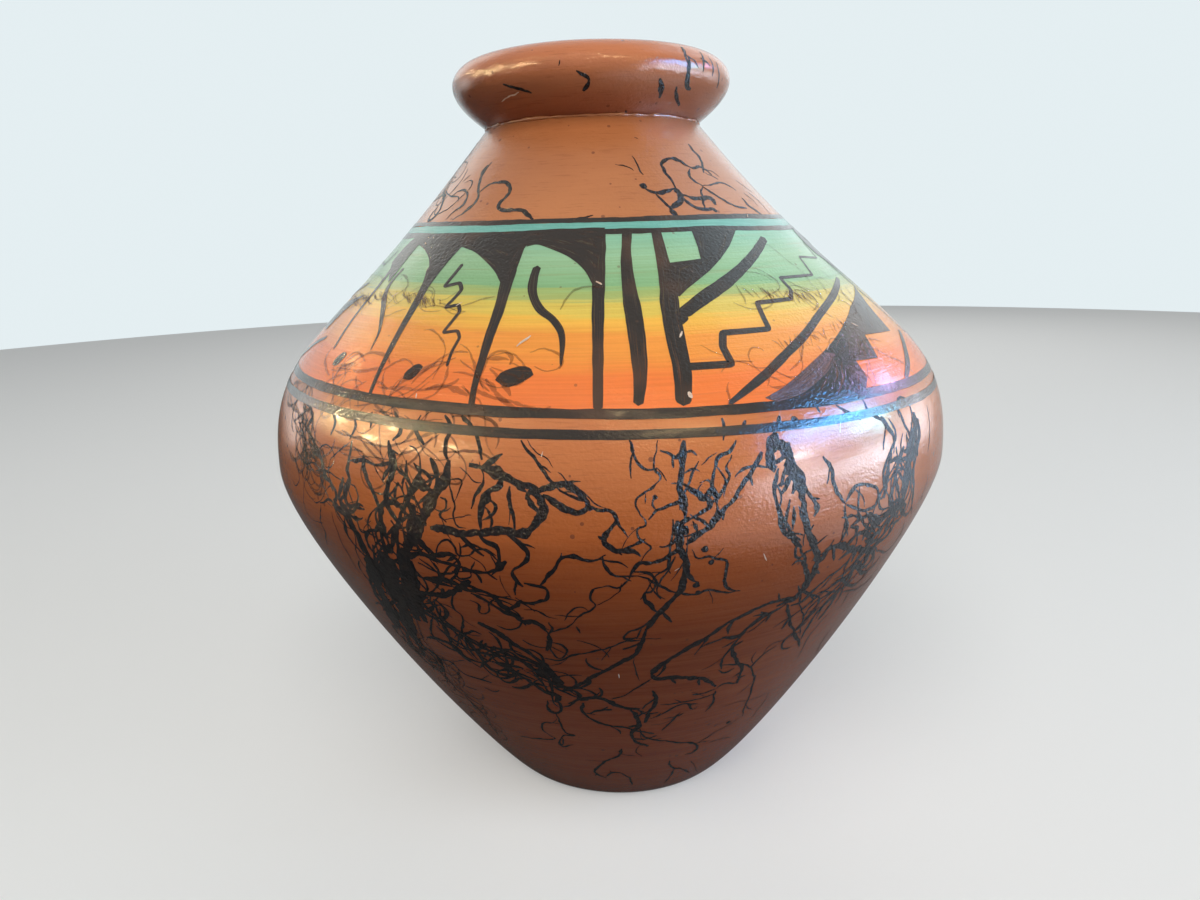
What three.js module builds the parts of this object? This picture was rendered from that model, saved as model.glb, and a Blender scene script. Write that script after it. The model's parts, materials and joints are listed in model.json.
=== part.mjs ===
// Horsehair pottery vase, in millimetres, standing on its foot at the origin with +Z up.
// Five pieces of clay are turned or rolled about the upright axis, and luted together with slip:
// a floor slab, the coil that backs its seam, two flaring walls that meet at the belly, and a rolled rim.
import * as THREE from 'three';

// Driving dimensions of the outside form
const vaseHeight = 248;
const footRadius = 45;
const bellyRadius = 114.8;
const bellyHeight = 123.5;
const neckRadius = 35.6;
const rimHeight = 20.5;
const neckHeight = vaseHeight - rimHeight;
const rimRadius = 46;
const rimWidestDrop = 7.5; // from the lip down to the widest line of the rim
const crownRadius = 36; // the ring where the lip is highest

// Leans and fullness of the outline, where the curves leave the foot, the belly and the neck
const footLean = THREE.MathUtils.degToRad(50);
const footReach = 18;
const bellyReachBelow = 20;
const bellyReachAbove = 40;
const neckLean = THREE.MathUtils.degToRad(40);
const neckReach = 90;
const rimFlankLean = THREE.MathUtils.degToRad(54);
const rimFlankReach = 8.5;
const rimFullness = 4;

// Walls and floor
const wallThickness = 7;
const floorThickness = 10;
const heelHeight = 7; // where the inside of the lower wall leaves the raised middle of the floor
const mouthRadius = 27;
const footBevel = 1.6;
const lipInnerDrop = 9; // from the lip down to the straight throat

// Luted joints: a floor ledge under the wall, and a ridge in a groove at the belly and the neck
const slipGap = 0.3; // the layer of slip between two pieces
const ledgeHeight = 4.5;
const ridgeHeight = 3.5;
const ridgeRootWidth = 3;
const ridgeTipWidth = 1.6;
const filletWidth = 9;
const filletHeight = 8;
const filletSag = 0.35; // how far the finger-smoothed face of the fillet coil dips, as a share of its width

// Fineness of the turned surfaces
const turnSteps = 64;
const outsideSteps = 13;
const insideSteps = 9;
const shortCurveSteps = 6;
const filletSteps = 4;

const clayBody = { color: 0xa85a38, roughness: 0.42, metalness: 0 };
const clayShoulder = { color: 0xb8683f, roughness: 0.4, metalness: 0 };
const clayRim = { color: 0x8e4630, roughness: 0.3, metalness: 0 };
const clayInside = { color: 0x9a5236, roughness: 0.85, metalness: 0 };

const point = (radius, height) => new THREE.Vector2(radius, height);

// Outside of the lower wall, from the foot up to the belly
const lowerOutline = new THREE.CubicBezierCurve(
  point(footRadius, 0),
  point(footRadius + footReach * Math.sin(footLean), footReach * Math.cos(footLean)),
  point(bellyRadius, bellyHeight - bellyReachBelow),
  point(bellyRadius, bellyHeight),
);

// Outside of the shoulder, from the belly up to the neck
const shoulderOutline = new THREE.CubicBezierCurve(
  point(bellyRadius, bellyHeight),
  point(bellyRadius, bellyHeight + bellyReachAbove),
  point(neckRadius + neckReach * Math.sin(neckLean), neckHeight - neckReach * Math.cos(neckLean)),
  point(neckRadius, neckHeight),
);

// The point that lies a given depth of clay under an outline, measured square to its surface.
function under(outline, t, depth) {
  const surface = outline.getPoint(t);
  const along = outline.getTangent(t);
  return point(surface.x - depth * along.y, surface.y + depth * along.x);
}

// Where on an outline the face at that depth passes a height. Both outlines rise all the way.
function shareAtHeight(outline, depth, height) {
  let low = 0;
  let high = 1;
  while (high - low > 1e-9) {
    const middle = (low + high) / 2;
    if (under(outline, middle, depth).y < height) low = middle;
    else high = middle;
  }
  return (low + high) / 2;
}

function radiusAtHeight(outline, depth, height) {
  return under(outline, shareAtHeight(outline, depth, height), depth).x;
}

// Points along the face at that depth between two heights, both ends included.
function face(outline, depth, fromHeight, toHeight, steps) {
  const start = shareAtHeight(outline, depth, fromHeight);
  const end = shareAtHeight(outline, depth, toHeight);
  return Array.from({ length: steps + 1 }, (_, i) => under(outline, start + ((end - start) * i) / steps, depth));
}

// A quarter of an ellipse from one point to another, leaving the first one upright or level.
function quarterRound(from, to, leaving, steps) {
  return Array.from({ length: steps + 1 }, (_, i) => {
    const turn = (Math.PI / 2) * (i / steps);
    const across = leaving === 'upright' ? 1 - Math.cos(turn) : Math.sin(turn);
    const up = leaving === 'upright' ? Math.sin(turn) : 1 - Math.cos(turn);
    return point(from.x + (to.x - from.x) * across, from.y + (to.y - from.y) * up);
  });
}

// The ridge on the top face of a wall, from outside to inside, or the groove that it seats in.
function ridge(middleRadius, seatHeight, clearance) {
  const root = ridgeRootWidth / 2 + clearance;
  const tip = ridgeTipWidth / 2 + clearance;
  const top = seatHeight + ridgeHeight;
  return [
    point(middleRadius + root, seatHeight),
    point(middleRadius + tip, top),
    point(middleRadius - tip, top),
    point(middleRadius - root, seatHeight),
  ];
}

// A closed outline, listed anticlockwise with the radius to the right, turned about the axis.
function turned(outline) {
  const ring = outline[0].x === 0 ? outline : [...outline, outline[0].clone()];
  return new THREE.LatheGeometry(ring, turnSteps).rotateX(Math.PI / 2);
}

function clay(name, outline, finish) {
  const mesh = new THREE.Mesh(turned(outline), new THREE.MeshStandardMaterial(finish));
  mesh.name = name;
  return mesh;
}

// The floor slab is the foot of the vase. Its raised middle sits inside the lower wall,
// and the wall stands on the ledge round it.
const ledgeRadius = radiusAtHeight(lowerOutline, 0, ledgeHeight);
const wallSeatHeight = ledgeHeight + slipGap;
const padRadius = radiusAtHeight(lowerOutline, wallThickness, heelHeight) - slipGap;

function floorSlab() {
  const outline = [
    point(0, 0),
    point(footRadius - footBevel, 0),
    point(radiusAtHeight(lowerOutline, 0, footBevel), footBevel),
    point(ledgeRadius, ledgeHeight),
    point(padRadius, ledgeHeight),
    point(padRadius, floorThickness),
    point(0, floorThickness),
  ];
  return clay('floor_slab', outline, clayInside);
}

// The coil pressed into the angle between floor and wall, smoothed hollow by a fingertip.
function filletCoil() {
  const seat = floorThickness + slipGap;
  const crest = seat + filletHeight;
  const againstWall = face(lowerOutline, wallThickness + slipGap, seat, crest, 3);
  const outer = againstWall[0];
  const top = againstWall[againstWall.length - 1];
  const toe = point(outer.x - filletWidth, seat);
  const dip = point(
    (toe.x + top.x) / 2 + filletSag * filletHeight * 0.5,
    (toe.y + top.y) / 2 - filletSag * filletWidth * 0.5,
  );
  const smoothed = new THREE.QuadraticBezierCurve(top, dip, toe).getPoints(filletSteps).slice(1, -1);
  return clay('floor_fillet_coil', [toe, ...againstWall, ...smoothed], clayInside);
}

// The lower wall opens from the foot to the belly, and carries the ridge of the belly seam.
const bellyInnerRadius = bellyRadius - wallThickness;
const bellySeamRadius = (bellyRadius + bellyInnerRadius) / 2;

function lowerWall() {
  const landRadius = padRadius + slipGap;
  const outside = face(lowerOutline, 0, wallSeatHeight, bellyHeight, outsideSteps);
  const inside = face(lowerOutline, wallThickness, heelHeight, bellyHeight, insideSteps).reverse();
  const outline = [
    point(landRadius, wallSeatHeight),
    ...outside,
    ...ridge(bellySeamRadius, bellyHeight, 0),
    ...inside,
  ];
  return clay('lower_wall', outline, clayBody);
}

// The shoulder wall closes in from the belly to the neck, and carries the ridge under the rim.
const throatSeamRadius = (neckRadius + mouthRadius) / 2;

function shoulderWall() {
  const seat = bellyHeight + slipGap;
  const highestInside = under(shoulderOutline, 1, wallThickness).y;
  const outside = face(shoulderOutline, 0, seat, neckHeight, outsideSteps);
  const inside = face(shoulderOutline, wallThickness, seat, highestInside, insideSteps).reverse();
  const outline = [
    ...outside,
    ...ridge(throatSeamRadius, neckHeight, 0),
    point(mouthRadius, neckHeight),
    ...inside,
    ...ridge(bellySeamRadius, seat, slipGap).reverse(),
  ];
  return clay('shoulder_wall', outline, clayShoulder);
}

// The rim is a fat coil with a slanting flank, rolled over into the mouth, saddled on the neck.
function rolledRim() {
  const seat = neckHeight + slipGap;
  const creaseEdge = point(neckRadius, seat);
  const widest = point(rimRadius, vaseHeight - rimWidestDrop);
  const crown = point(crownRadius, vaseHeight);
  const throatTop = point(mouthRadius, vaseHeight - lipInnerDrop);
  const flank = new THREE.CubicBezierCurve(
    creaseEdge,
    point(creaseEdge.x + rimFlankReach * Math.sin(rimFlankLean), creaseEdge.y + rimFlankReach * Math.cos(rimFlankLean)),
    point(widest.x, widest.y - rimFullness),
    widest,
  ).getPoints(shortCurveSteps);
  const outline = [
    ...flank,
    ...quarterRound(widest, crown, 'upright', shortCurveSteps).slice(1),
    ...quarterRound(crown, throatTop, 'level', shortCurveSteps).slice(1),
    point(mouthRadius, seat),
    ...ridge(throatSeamRadius, seat, slipGap).reverse(),
  ];
  return clay('rolled_rim', outline, clayRim);
}

const vase = new THREE.Group();
vase.add(floorSlab(), filletCoil(), lowerWall(), shoulderWall(), rolledRim());

export default vase;
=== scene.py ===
# Horsehair pottery vase: the fired clay, its painted shoulder band and the smoke-black marks of burnt hair.
import bisect
import json
import math
import random

import bmesh
import bpy
from mathutils import Matrix, Vector, noise
from mathutils.geometry import interpolate_bezier

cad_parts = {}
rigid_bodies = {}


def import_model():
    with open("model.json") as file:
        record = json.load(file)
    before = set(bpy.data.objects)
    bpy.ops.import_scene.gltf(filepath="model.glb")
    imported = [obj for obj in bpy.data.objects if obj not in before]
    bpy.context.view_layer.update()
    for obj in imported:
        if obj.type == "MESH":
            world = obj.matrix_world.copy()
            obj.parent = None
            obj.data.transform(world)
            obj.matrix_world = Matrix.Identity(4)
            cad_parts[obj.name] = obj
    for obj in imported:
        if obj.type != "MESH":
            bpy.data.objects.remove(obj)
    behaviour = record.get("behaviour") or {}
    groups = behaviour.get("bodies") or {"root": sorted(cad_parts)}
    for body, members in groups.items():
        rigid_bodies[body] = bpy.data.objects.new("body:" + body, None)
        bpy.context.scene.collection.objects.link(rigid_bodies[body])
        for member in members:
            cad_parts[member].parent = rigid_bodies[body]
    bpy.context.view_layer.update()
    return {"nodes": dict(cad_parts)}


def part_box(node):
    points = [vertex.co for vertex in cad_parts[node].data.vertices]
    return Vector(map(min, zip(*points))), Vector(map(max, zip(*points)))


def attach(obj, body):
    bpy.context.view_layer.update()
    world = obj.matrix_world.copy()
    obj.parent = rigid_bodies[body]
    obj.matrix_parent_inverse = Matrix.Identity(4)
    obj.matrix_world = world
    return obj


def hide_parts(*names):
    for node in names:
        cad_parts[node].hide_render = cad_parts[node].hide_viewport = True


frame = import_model()
print("packed vase loaded")

mm = 0.001
weld = 0.001 * mm  # points closer than this are one

# The outside form of the pot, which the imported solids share

form = {
    "footRadius": 45 * mm,
    "bellyHeight": 123.5 * mm,
    "neckRadius": 35.6 * mm,
    "crownRadius": 36 * mm,
    "rimWidestDrop": 7.5 * mm,
    "footLean": 50,
    "footReach": 18 * mm,
    "bellyReachBelow": 20 * mm,
    "bellyReachAbove": 40 * mm,
    "neckLean": 40,
    "neckReach": 90 * mm,
    "rimFlankLean": 54,
    "rimFlankReach": 8.5 * mm,
    "rimFullness": 4 * mm,
    "wall": 7 * mm,
    "mouthRadius": 27 * mm,
    "lipInnerDrop": 9 * mm,
    "footBevel": 1.6 * mm,
    "footSeam": 4.65 * mm,  # middle of the slip layer between the floor's ledge and the wall
    "heelHeight": 7 * mm,
    "turnSteps": 320,
    "wallSteps": 90,
    "flankSteps": 18,
    "lipSteps": 14,
    "creaseAngle": 38,  # degrees; a sharper edge is shaded as an edge
}
handDrift = {  # how the hand strays from a true turned form
    "leanAtFoot": 1.3 * mm,
    "leanAtNeck": -2.8 * mm,
    "oval": 0.22,  # millimetres, as are the next two
    "lobes": 0.12,
    "ripple": 0.06,
}
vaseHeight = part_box("rolled_rim")[1].z
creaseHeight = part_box("rolled_rim")[0].z - 0.15 * mm
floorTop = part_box("floor_slab")[1].z
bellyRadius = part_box("lower_wall")[1].x
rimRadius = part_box("rolled_rim")[1].x


def flare(start, leanDegrees, reach, arrive, end, steps):
    lean = math.radians(leanDegrees)
    leave = start + Vector((reach * math.sin(lean), reach * math.cos(lean)))
    return interpolate_bezier(start, leave, arrive, end, steps)


def wallOutlines():
    foot = Vector((form["footRadius"], 0))
    belly = Vector((bellyRadius, form["bellyHeight"]))
    neck = Vector((form["neckRadius"], creaseHeight))
    underBelly = belly - Vector((0, form["bellyReachBelow"]))
    overBelly = belly + Vector((0, form["bellyReachAbove"]))
    steps = form["wallSteps"]
    below = flare(foot, form["footLean"], form["footReach"], underBelly, belly, steps)
    above = flare(neck, 180 - form["neckLean"], form["neckReach"], overBelly, belly, steps)
    return below, above[::-1]


def rimOutlines():
    crease = Vector((form["neckRadius"], creaseHeight))
    widest = Vector((rimRadius, vaseHeight - form["rimWidestDrop"]))
    crown = Vector((form["crownRadius"], vaseHeight))
    throat = Vector((form["mouthRadius"], vaseHeight - form["lipInnerDrop"]))
    underWidest = widest - Vector((0, form["rimFullness"]))
    lean, reach, steps = form["rimFlankLean"], form["rimFlankReach"], form["lipSteps"]
    flank = flare(crease, lean, reach, underWidest, widest, form["flankSteps"])
    turns = [math.pi / 2 * i / steps for i in range(1, steps + 1)]
    over = [crown + Vector(((widest.x - crown.x) * math.cos(t), 0))
            - Vector((0, crown.y - widest.y)) * (1 - math.sin(t)) for t in turns]
    inward = [throat + Vector(((crown.x - throat.x) * (1 - math.sin(t)), (crown.y - throat.y) * math.cos(t)))
              for t in turns]
    return flank, over, inward


lowerOutline, shoulderOutline = wallOutlines()
rimFlank, rimOver, rimInward = rimOutlines()
outsideLine = lowerOutline + shoulderOutline[1:] + rimFlank[1:] + rimOver
outsideHeights = [p.y for p in outsideLine]


def outsideRadius(height):
    i = min(max(bisect.bisect_left(outsideHeights, height), 1), len(outsideLine) - 1)
    a, b = outsideLine[i - 1], outsideLine[i]
    share = (height - a.y) / (b.y - a.y)
    return a.x + (b.x - a.x) * min(max(share, 0), 1)


def eased(low, high, value):
    t = min(max((value - low) / (high - low), 0), 1)
    return t * t * (3 - 2 * t)


def handLean(height):  # the axis drifts a little, as in any pot closed in by hand
    low = handDrift["leanAtFoot"] * (1 - eased(0, 95 * mm, height))
    return low + handDrift["leanAtNeck"] * eased(140 * mm, 222 * mm, height)


def throwWobble(angle, height):
    oval = handDrift["oval"] * math.sin(2 * angle + 1.1)
    lobes = handDrift["lobes"] * math.sin(3 * angle + 40 * height)
    return (oval + lobes + handDrift["ripple"] * math.sin(7 * angle - 90 * height)) * mm


def onPot(degrees, height, lift=0.0):  # a point on the outside, and the way the clay faces there
    angle = math.radians(degrees)  # 0 faces the camera, and it grows to the right
    radius = outsideRadius(height) + throwWobble(angle, height)
    step = 0.8 * mm
    slope = (outsideRadius(height + step) - outsideRadius(height - step)) / (2 * step)
    outward = Vector((math.sin(angle), -math.cos(angle), -slope)).normalized()
    point = Vector((handLean(height) + radius * math.sin(angle), -radius * math.cos(angle), height))
    return point + outward * lift, outward


def potPlace(point):  # the angle and height that a point in space lies over
    return math.degrees(math.atan2(point.x - handLean(point.z), -point.y)), point.z


# Camera, as the photograph was taken: close, wide and a little above the belly

view = {
    "focalPixels": 831,
    "framePixels": (1200, 900),
    "pitch": 15.07,
    "roll": -1.8,
    "yaw": -0.66,
    "place": Vector((0, -299.9 * mm, 195.7 * mm)),
    "nearest": 0.14,  # metres from the camera between which the pot is looked for
    "farthest": 0.4,
    "searchStep": 2 * mm,
    "halvings": 14,
}


def cameraAxes():
    pitch, roll, yaw = (math.radians(view[k]) for k in ("pitch", "roll", "yaw"))
    ahead = Vector((math.sin(yaw) * math.cos(pitch), math.cos(yaw) * math.cos(pitch), -math.sin(pitch)))
    level = Vector((math.cos(yaw), -math.sin(yaw), 0))
    upright = level.cross(ahead)
    across = level * math.cos(roll) + upright * math.sin(roll)
    return across, upright * math.cos(roll) - level * math.sin(roll), ahead


viewAcross, viewUp, viewAhead = cameraAxes()


def placeCamera():
    data = bpy.data.cameras.new("photoCamera")
    data.sensor_width = 36
    data.lens = data.sensor_width * view["focalPixels"] / view["framePixels"][0]
    data.clip_start = 0.01
    camera = bpy.data.objects.new("photoCamera", data)
    turn = Matrix((viewAcross, viewUp, -viewAhead)).transposed().to_4x4()
    camera.matrix_world = Matrix.Translation(view["place"]) @ turn
    bpy.context.scene.collection.objects.link(camera)
    bpy.context.scene.camera = camera


def seenAt(pixel):  # the place on the pot that a pixel of the photograph's frame looks at
    sideways = (pixel[0] - view["framePixels"][0] / 2) / view["focalPixels"]
    down = (pixel[1] - view["framePixels"][1] / 2) / view["focalPixels"]
    ray = (viewAhead + viewAcross * sideways - viewUp * down).normalized()

    def inside(distance):
        p = view["place"] + ray * distance
        return 0 <= p.z < vaseHeight and math.hypot(p.x - handLean(p.z), p.y) < outsideRadius(p.z)

    far = view["nearest"]
    while not inside(far):
        far += view["searchStep"]
        if far > view["farthest"]:
            return None
    near = far - view["searchStep"]
    for _ in range(view["halvings"]):
        middle = (near + far) / 2
        near, far = (near, middle) if inside(middle) else (middle, far)
    return potPlace(view["place"] + ray * far)


def mirroredFrom(pixel, distance):  # the place whose reflection the camera sees at a pixel
    point, outward = onPot(*seenAt(pixel))
    look = (point - view["place"]).normalized()
    return point + (look - outward * 2 * look.dot(outward)) * distance


placeCamera()
print("camera placed")

# Shader helpers


def feed(tree, socket, value):  # links another node's output, or sets a plain value
    if isinstance(value, bpy.types.NodeSocket):
        tree.links.new(value, socket)
    else:
        socket.default_value = value


def newNode(tree, kind, inputs=None, **settings):
    node = tree.nodes.new(kind)
    for key, value in settings.items():
        setattr(node, key, value)
    for key, value in (inputs or {}).items():
        feed(tree, node.inputs[key], value)
    return node


def noiseAt(tree, stretch, detail, roughness=0.55):
    coords = newNode(tree, "ShaderNodeTexCoord")
    mapping = newNode(tree, "ShaderNodeMapping", {"Vector": coords.outputs["Object"], "Scale": stretch})
    pattern = newNode(tree, "ShaderNodeTexNoise", {
        "Vector": mapping.outputs["Vector"], "Scale": 1.0, "Detail": detail, "Roughness": roughness})
    return pattern.outputs["Fac"]


def remap(tree, value, low, high):
    node = newNode(tree, "ShaderNodeMapRange", {
        "Value": value, "From Min": low, "From Max": high, "To Min": 0.0, "To Max": 1.0})
    node.interpolation_type = "SMOOTHSTEP"
    return node.outputs["Result"]


def mathNode(tree, operation, *values):
    node = newNode(tree, "ShaderNodeMath", operation=operation)
    for socket, value in zip(node.inputs, values):
        feed(tree, socket, value)
    return node.outputs[0]


def mixColors(tree, share, first, second, mode="MIX"):
    node = newNode(tree, "ShaderNodeMix", data_type="RGBA", blend_type=mode)
    sockets = {s.identifier: s for s in node.inputs}
    feed(tree, sockets["Factor_Float"], share)
    for key, color in (("A_Color", first), ("B_Color", second)):
        feed(tree, sockets[key], (*color, 1) if isinstance(color, tuple) else color)
    return {s.identifier: s for s in node.outputs}["Result_Color"]


def tinted(tree, color, mask, amount, tint, mode="MIX"):  # lays a tint over a colour where the mask is bright
    return mixColors(tree, mathNode(tree, "MULTIPLY", mask, amount), color, tint, mode)


def colorSteps(tree, value, steps):
    ramp = newNode(tree, "ShaderNodeValToRGB", {"Fac": value})
    elements = ramp.color_ramp.elements
    while len(elements) < len(steps):
        elements.new(0.5)
    for element, (place, color) in zip(elements, steps):
        element.position = place
        element.color = (*color, 1)
    return ramp.outputs["Color"]


def newGroup(name, inputs, outputs):
    group = bpy.data.node_groups.new(name, "ShaderNodeTree")
    for label, start in inputs.items():
        socket = group.interface.new_socket(name=label, in_out="INPUT", socket_type="NodeSocketFloat")
        socket.default_value = start
    for label in outputs:
        group.interface.new_socket(name=label, in_out="OUTPUT", socket_type="NodeSocketFloat")
    return group, newNode(group, "NodeGroupInput").outputs, newNode(group, "NodeGroupOutput").inputs


def useGroup(tree, group, **values):
    return newNode(tree, "ShaderNodeGroup", values, node_tree=group).outputs


def newMaterial(name, roughness=0.24, coat=0.08, specular=0.27):
    material = bpy.data.materials.new(name)
    material.use_nodes = True
    tree = material.node_tree
    shader = tree.nodes["Principled BSDF"]
    for key, value in (("Roughness", roughness), ("Coat Weight", coat), ("Coat Roughness", 0.12),
                       ("Specular IOR Level", specular)):
        shader.inputs[key].default_value = value
    return material, tree, shader


def addBump(tree, shader, height, distance):
    bump = newNode(tree, "ShaderNodeBump", {"Height": height, "Distance": distance, "Strength": 1.0})
    tree.links.new(bump.outputs["Normal"], shader.inputs["Normal"])


# Shared effects


def burnishGroup():  # level streaks left by the polishing stone while the pot turns
    group, _, out = newGroup("burnishLines", {}, ["Streaks", "Height"])
    fine, coarse = noiseAt(group, (38, 38, 1300), 3, 0.6), noiseAt(group, (14, 14, 420), 4, 0.6)
    both = mathNode(group, "MULTIPLY", mathNode(group, "ADD", fine, coarse), 0.5)
    group.links.new(remap(group, both, 0.34, 0.66), out["Streaks"])
    group.links.new(both, out["Height"])
    return group


def speckGroup():  # small dark or pale specks: grog, pinholes, soot
    group, given, out = newGroup("kilnSpecks", {"Size": 700.0, "Amount": 0.3}, ["Mask"])
    coords = newNode(group, "ShaderNodeTexCoord")
    grains = newNode(group, "ShaderNodeTexVoronoi", {
        "Vector": coords.outputs["Object"], "Scale": given["Size"], "Randomness": 1.0})
    parted = newNode(group, "ShaderNodeSeparateColor", {"Color": grains.outputs["Color"]})
    chosen = mathNode(group, "LESS_THAN", parted.outputs[0], given["Amount"])
    size = mathNode(group, "MULTIPLY_ADD", parted.outputs[1], 0.22, 0.05)
    dot = mathNode(group, "LESS_THAN", grains.outputs["Distance"], size)
    group.links.new(mathNode(group, "MULTIPLY", chosen, dot), out["Mask"])
    return group


def lacquerGroup():  # the skin of the lacquer: slow swells and a fine orange peel
    group, given, out = newGroup("lacquerSkin", {"Peel": 1.0}, ["Height"])
    swell = noiseAt(group, (70, 70, 110), 2)
    peel = mathNode(group, "MULTIPLY", noiseAt(group, (1050, 1050, 1300), 3), given["Peel"])
    group.links.new(mathNode(group, "MULTIPLY_ADD", peel, 0.3, swell), out["Height"])
    return group


def brushGroup():  # bristle lines along a stroke, from the piece's own along and across values
    group, given, out = newGroup("bristleLines", {"Bristles": 7.0, "Dryness": 0.3}, ["Mask"])
    along, across, seed = (newNode(group, "ShaderNodeAttribute", attribute_name=name).outputs["Fac"]
                           for name in ("along", "across", "strokeSeed"))
    place = newNode(group, "ShaderNodeCombineXYZ", {
        "X": mathNode(group, "MULTIPLY", along, 55.0),
        "Y": mathNode(group, "MULTIPLY", across, given["Bristles"]), "Z": seed})
    pattern = newNode(group, "ShaderNodeTexNoise", {
        "Vector": place.outputs[0], "Scale": 1.0, "Detail": 4.0, "Roughness": 0.6})
    least = mathNode(group, "SUBTRACT", 0.75, given["Dryness"])
    most = mathNode(group, "ADD", least, 0.22)
    group.links.new(remap(group, pattern.outputs["Fac"], least, most), out["Mask"])
    return group


burnishLines = burnishGroup()
kilnSpecks = speckGroup()
lacquerSkin = lacquerGroup()
bristleLines = brushGroup()
skinDepth = 0.22 * mm  # height of the lacquer's relief


def mottled(tree, color, tint, patches, mode="MIX"):
    stretch, detail, low, high, amount = patches
    return tinted(tree, color, remap(tree, noiseAt(tree, stretch, detail), low, high), amount, tint, mode)


def specked(tree, color, tint, specks):  # the specked colour, and where the specks are
    size, share, amount = specks
    mask = useGroup(tree, kilnSpecks, Size=size, Amount=share)["Mask"]
    return tinted(tree, color, mask, amount, tint), mask


def lacquerOver(tree, shader, relief, share, peel, depth=skinDepth):  # the skin follows what it covers
    skin = useGroup(tree, lacquerSkin, Peel=peel)["Height"]
    addBump(tree, shader, mathNode(tree, "MULTIPLY_ADD", relief, share, skin), depth)


# Clay: burnished terracotta under clear lacquer, redder and darker towards the foot, partly smoke clouding
# and partly painted shade where the wall faces down, and darker just under the rim as a painted shadow of the
# rim

clayLook = {
    # painted shade: the wall's tones darken below the belly, where it faces down, and just under the rim, as
    # the rim's shadow; towards the foot it is partly smoke clouding too
    "wallTonesAndPaintedShade": [(30, (0.33, 0.058, 0.012)), (90, (0.24, 0.048, 0.011)), (116, (0.40, 0.094, 0.023)),
                  (142, (0.62, 0.192, 0.055)), (200, (0.55, 0.205, 0.074)), (227, (0.41, 0.140, 0.050))],
    # painted shade and light: the rim's clay darkens towards its underside and lightens on its top, as light
    # from above falls on it
    "rimPaintedShadeTones": [(226, (0.30, 0.086, 0.040)), (234, (0.47, 0.170, 0.082)), (243, (0.58, 0.190, 0.076))],
    "pale": (0.68, 0.26, 0.10),
    "dark": (0.38, 0.12, 0.045),
    "speck": (0.16, 0.05, 0.025),
    "specks": (420.0, 0.10, 0.7),  # how many to a metre, the share that show, and how strongly
    "cloudTint": (0.70, 0.62, 0.58),
    "clouds": ((16, 16, 24), 3, 0.35, 0.68, 0.35),  # stretch, detail, lower and upper limit, and strength
    "streakTint": (0.55, 0.45, 0.42),
    "streaks": ((150, 150, 2300), 3, 0.56, 0.68, 0.28),
    "burnish": 0.10,  # how pale the burnished lines are
    "roughness": 0.06,
    "burnishRoughness": 0.08,
    "burnishRelief": 0.24,
    "speckRelief": -0.25,
    "peel": 2.3,
    "bareDark": (0.34, 0.135, 0.07),
    "barePale": (0.48, 0.22, 0.125),
    "bareSpeck": (0.16, 0.06, 0.035),
    "bareSpecks": (600.0, 0.15, 0.5),
    "bareDepth": 0.5 * mm,
}


def lacqueredClay(name, tonesWithShade):
    material, tree, shader = newMaterial(name)
    coords = newNode(tree, "ShaderNodeTexCoord")
    height = newNode(tree, "ShaderNodeSeparateXYZ", {"Vector": coords.outputs["Object"]}).outputs["Z"]
    # the height ramp holds painted shade as well as the clay's own tones
    color = colorSteps(tree, mathNode(tree, "DIVIDE", height, vaseHeight),
                       [(level * mm / vaseHeight, tone) for level, tone in tonesWithShade])
    color = mottled(tree, color, clayLook["cloudTint"], clayLook["clouds"], "MULTIPLY")
    burnish = useGroup(tree, burnishLines)
    color = tinted(tree, color, burnish["Streaks"], clayLook["burnish"], clayLook["pale"])
    color = mottled(tree, color, clayLook["streakTint"], clayLook["streaks"], "MULTIPLY")
    color, specks = specked(tree, color, clayLook["speck"], clayLook["specks"])
    tree.links.new(color, shader.inputs["Base Color"])
    rough = mathNode(tree, "MULTIPLY_ADD", burnish["Streaks"], clayLook["burnishRoughness"],
                     clayLook["roughness"])
    tree.links.new(rough, shader.inputs["Roughness"])
    relief = mathNode(tree, "MULTIPLY", burnish["Height"], clayLook["burnishRelief"])
    relief = mathNode(tree, "MULTIPLY_ADD", specks, clayLook["speckRelief"], relief)
    lacquerOver(tree, shader, relief, 1.0, clayLook["peel"])
    return material


def bareClay():
    material, tree, shader = newMaterial("bareClay", roughness=0.85, coat=0.0)
    grain = noiseAt(tree, (300, 300, 300), 5)
    color = mixColors(tree, remap(tree, grain, 0.3, 0.7), clayLook["bareDark"], clayLook["barePale"])
    color, _ = specked(tree, color, clayLook["bareSpeck"], clayLook["bareSpecks"])
    tree.links.new(color, shader.inputs["Base Color"])
    rings = noiseAt(tree, (8, 8, 260), 3)
    addBump(tree, shader, mathNode(tree, "MULTIPLY_ADD", grain, 0.3, rings), clayLook["bareDepth"])
    return material


wallClay = lacqueredClay("lacqueredClay", clayLook["wallTonesAndPaintedShade"])
rimClay = lacqueredClay("lacqueredRimClay", clayLook["rimPaintedShadeTones"])
innerClay = bareClay()
print("clay materials made")

# Clay pieces, turned about the upright axis


def newPiece(name, bm, materials):
    mesh = bpy.data.meshes.new(name)
    for face in bm.faces:
        face.smooth = True
    bm.to_mesh(mesh)
    bm.free()
    for material in materials:
        mesh.materials.append(material)
    piece = bpy.data.objects.new(name, mesh)
    bpy.context.scene.collection.objects.link(piece)
    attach(piece, "root")
    return piece


def followClay(piece, lowest=-1.0, highest=1.0):  # shades by the pot's own form, so no line shows at a seam
    mesh = piece.data
    facing = {}
    normals = [(0, 0, 0)] * len(mesh.loops)
    for face in mesh.polygons:
        if face.material_index or not lowest < face.center.z < highest:
            continue
        for i in face.loop_indices:
            v = mesh.loops[i].vertex_index
            if v not in facing:
                facing[v] = onPot(*potPlace(mesh.vertices[v].co))[1]
            normals[i] = facing[v]
    mesh.normals_split_custom_set(normals)


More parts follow.
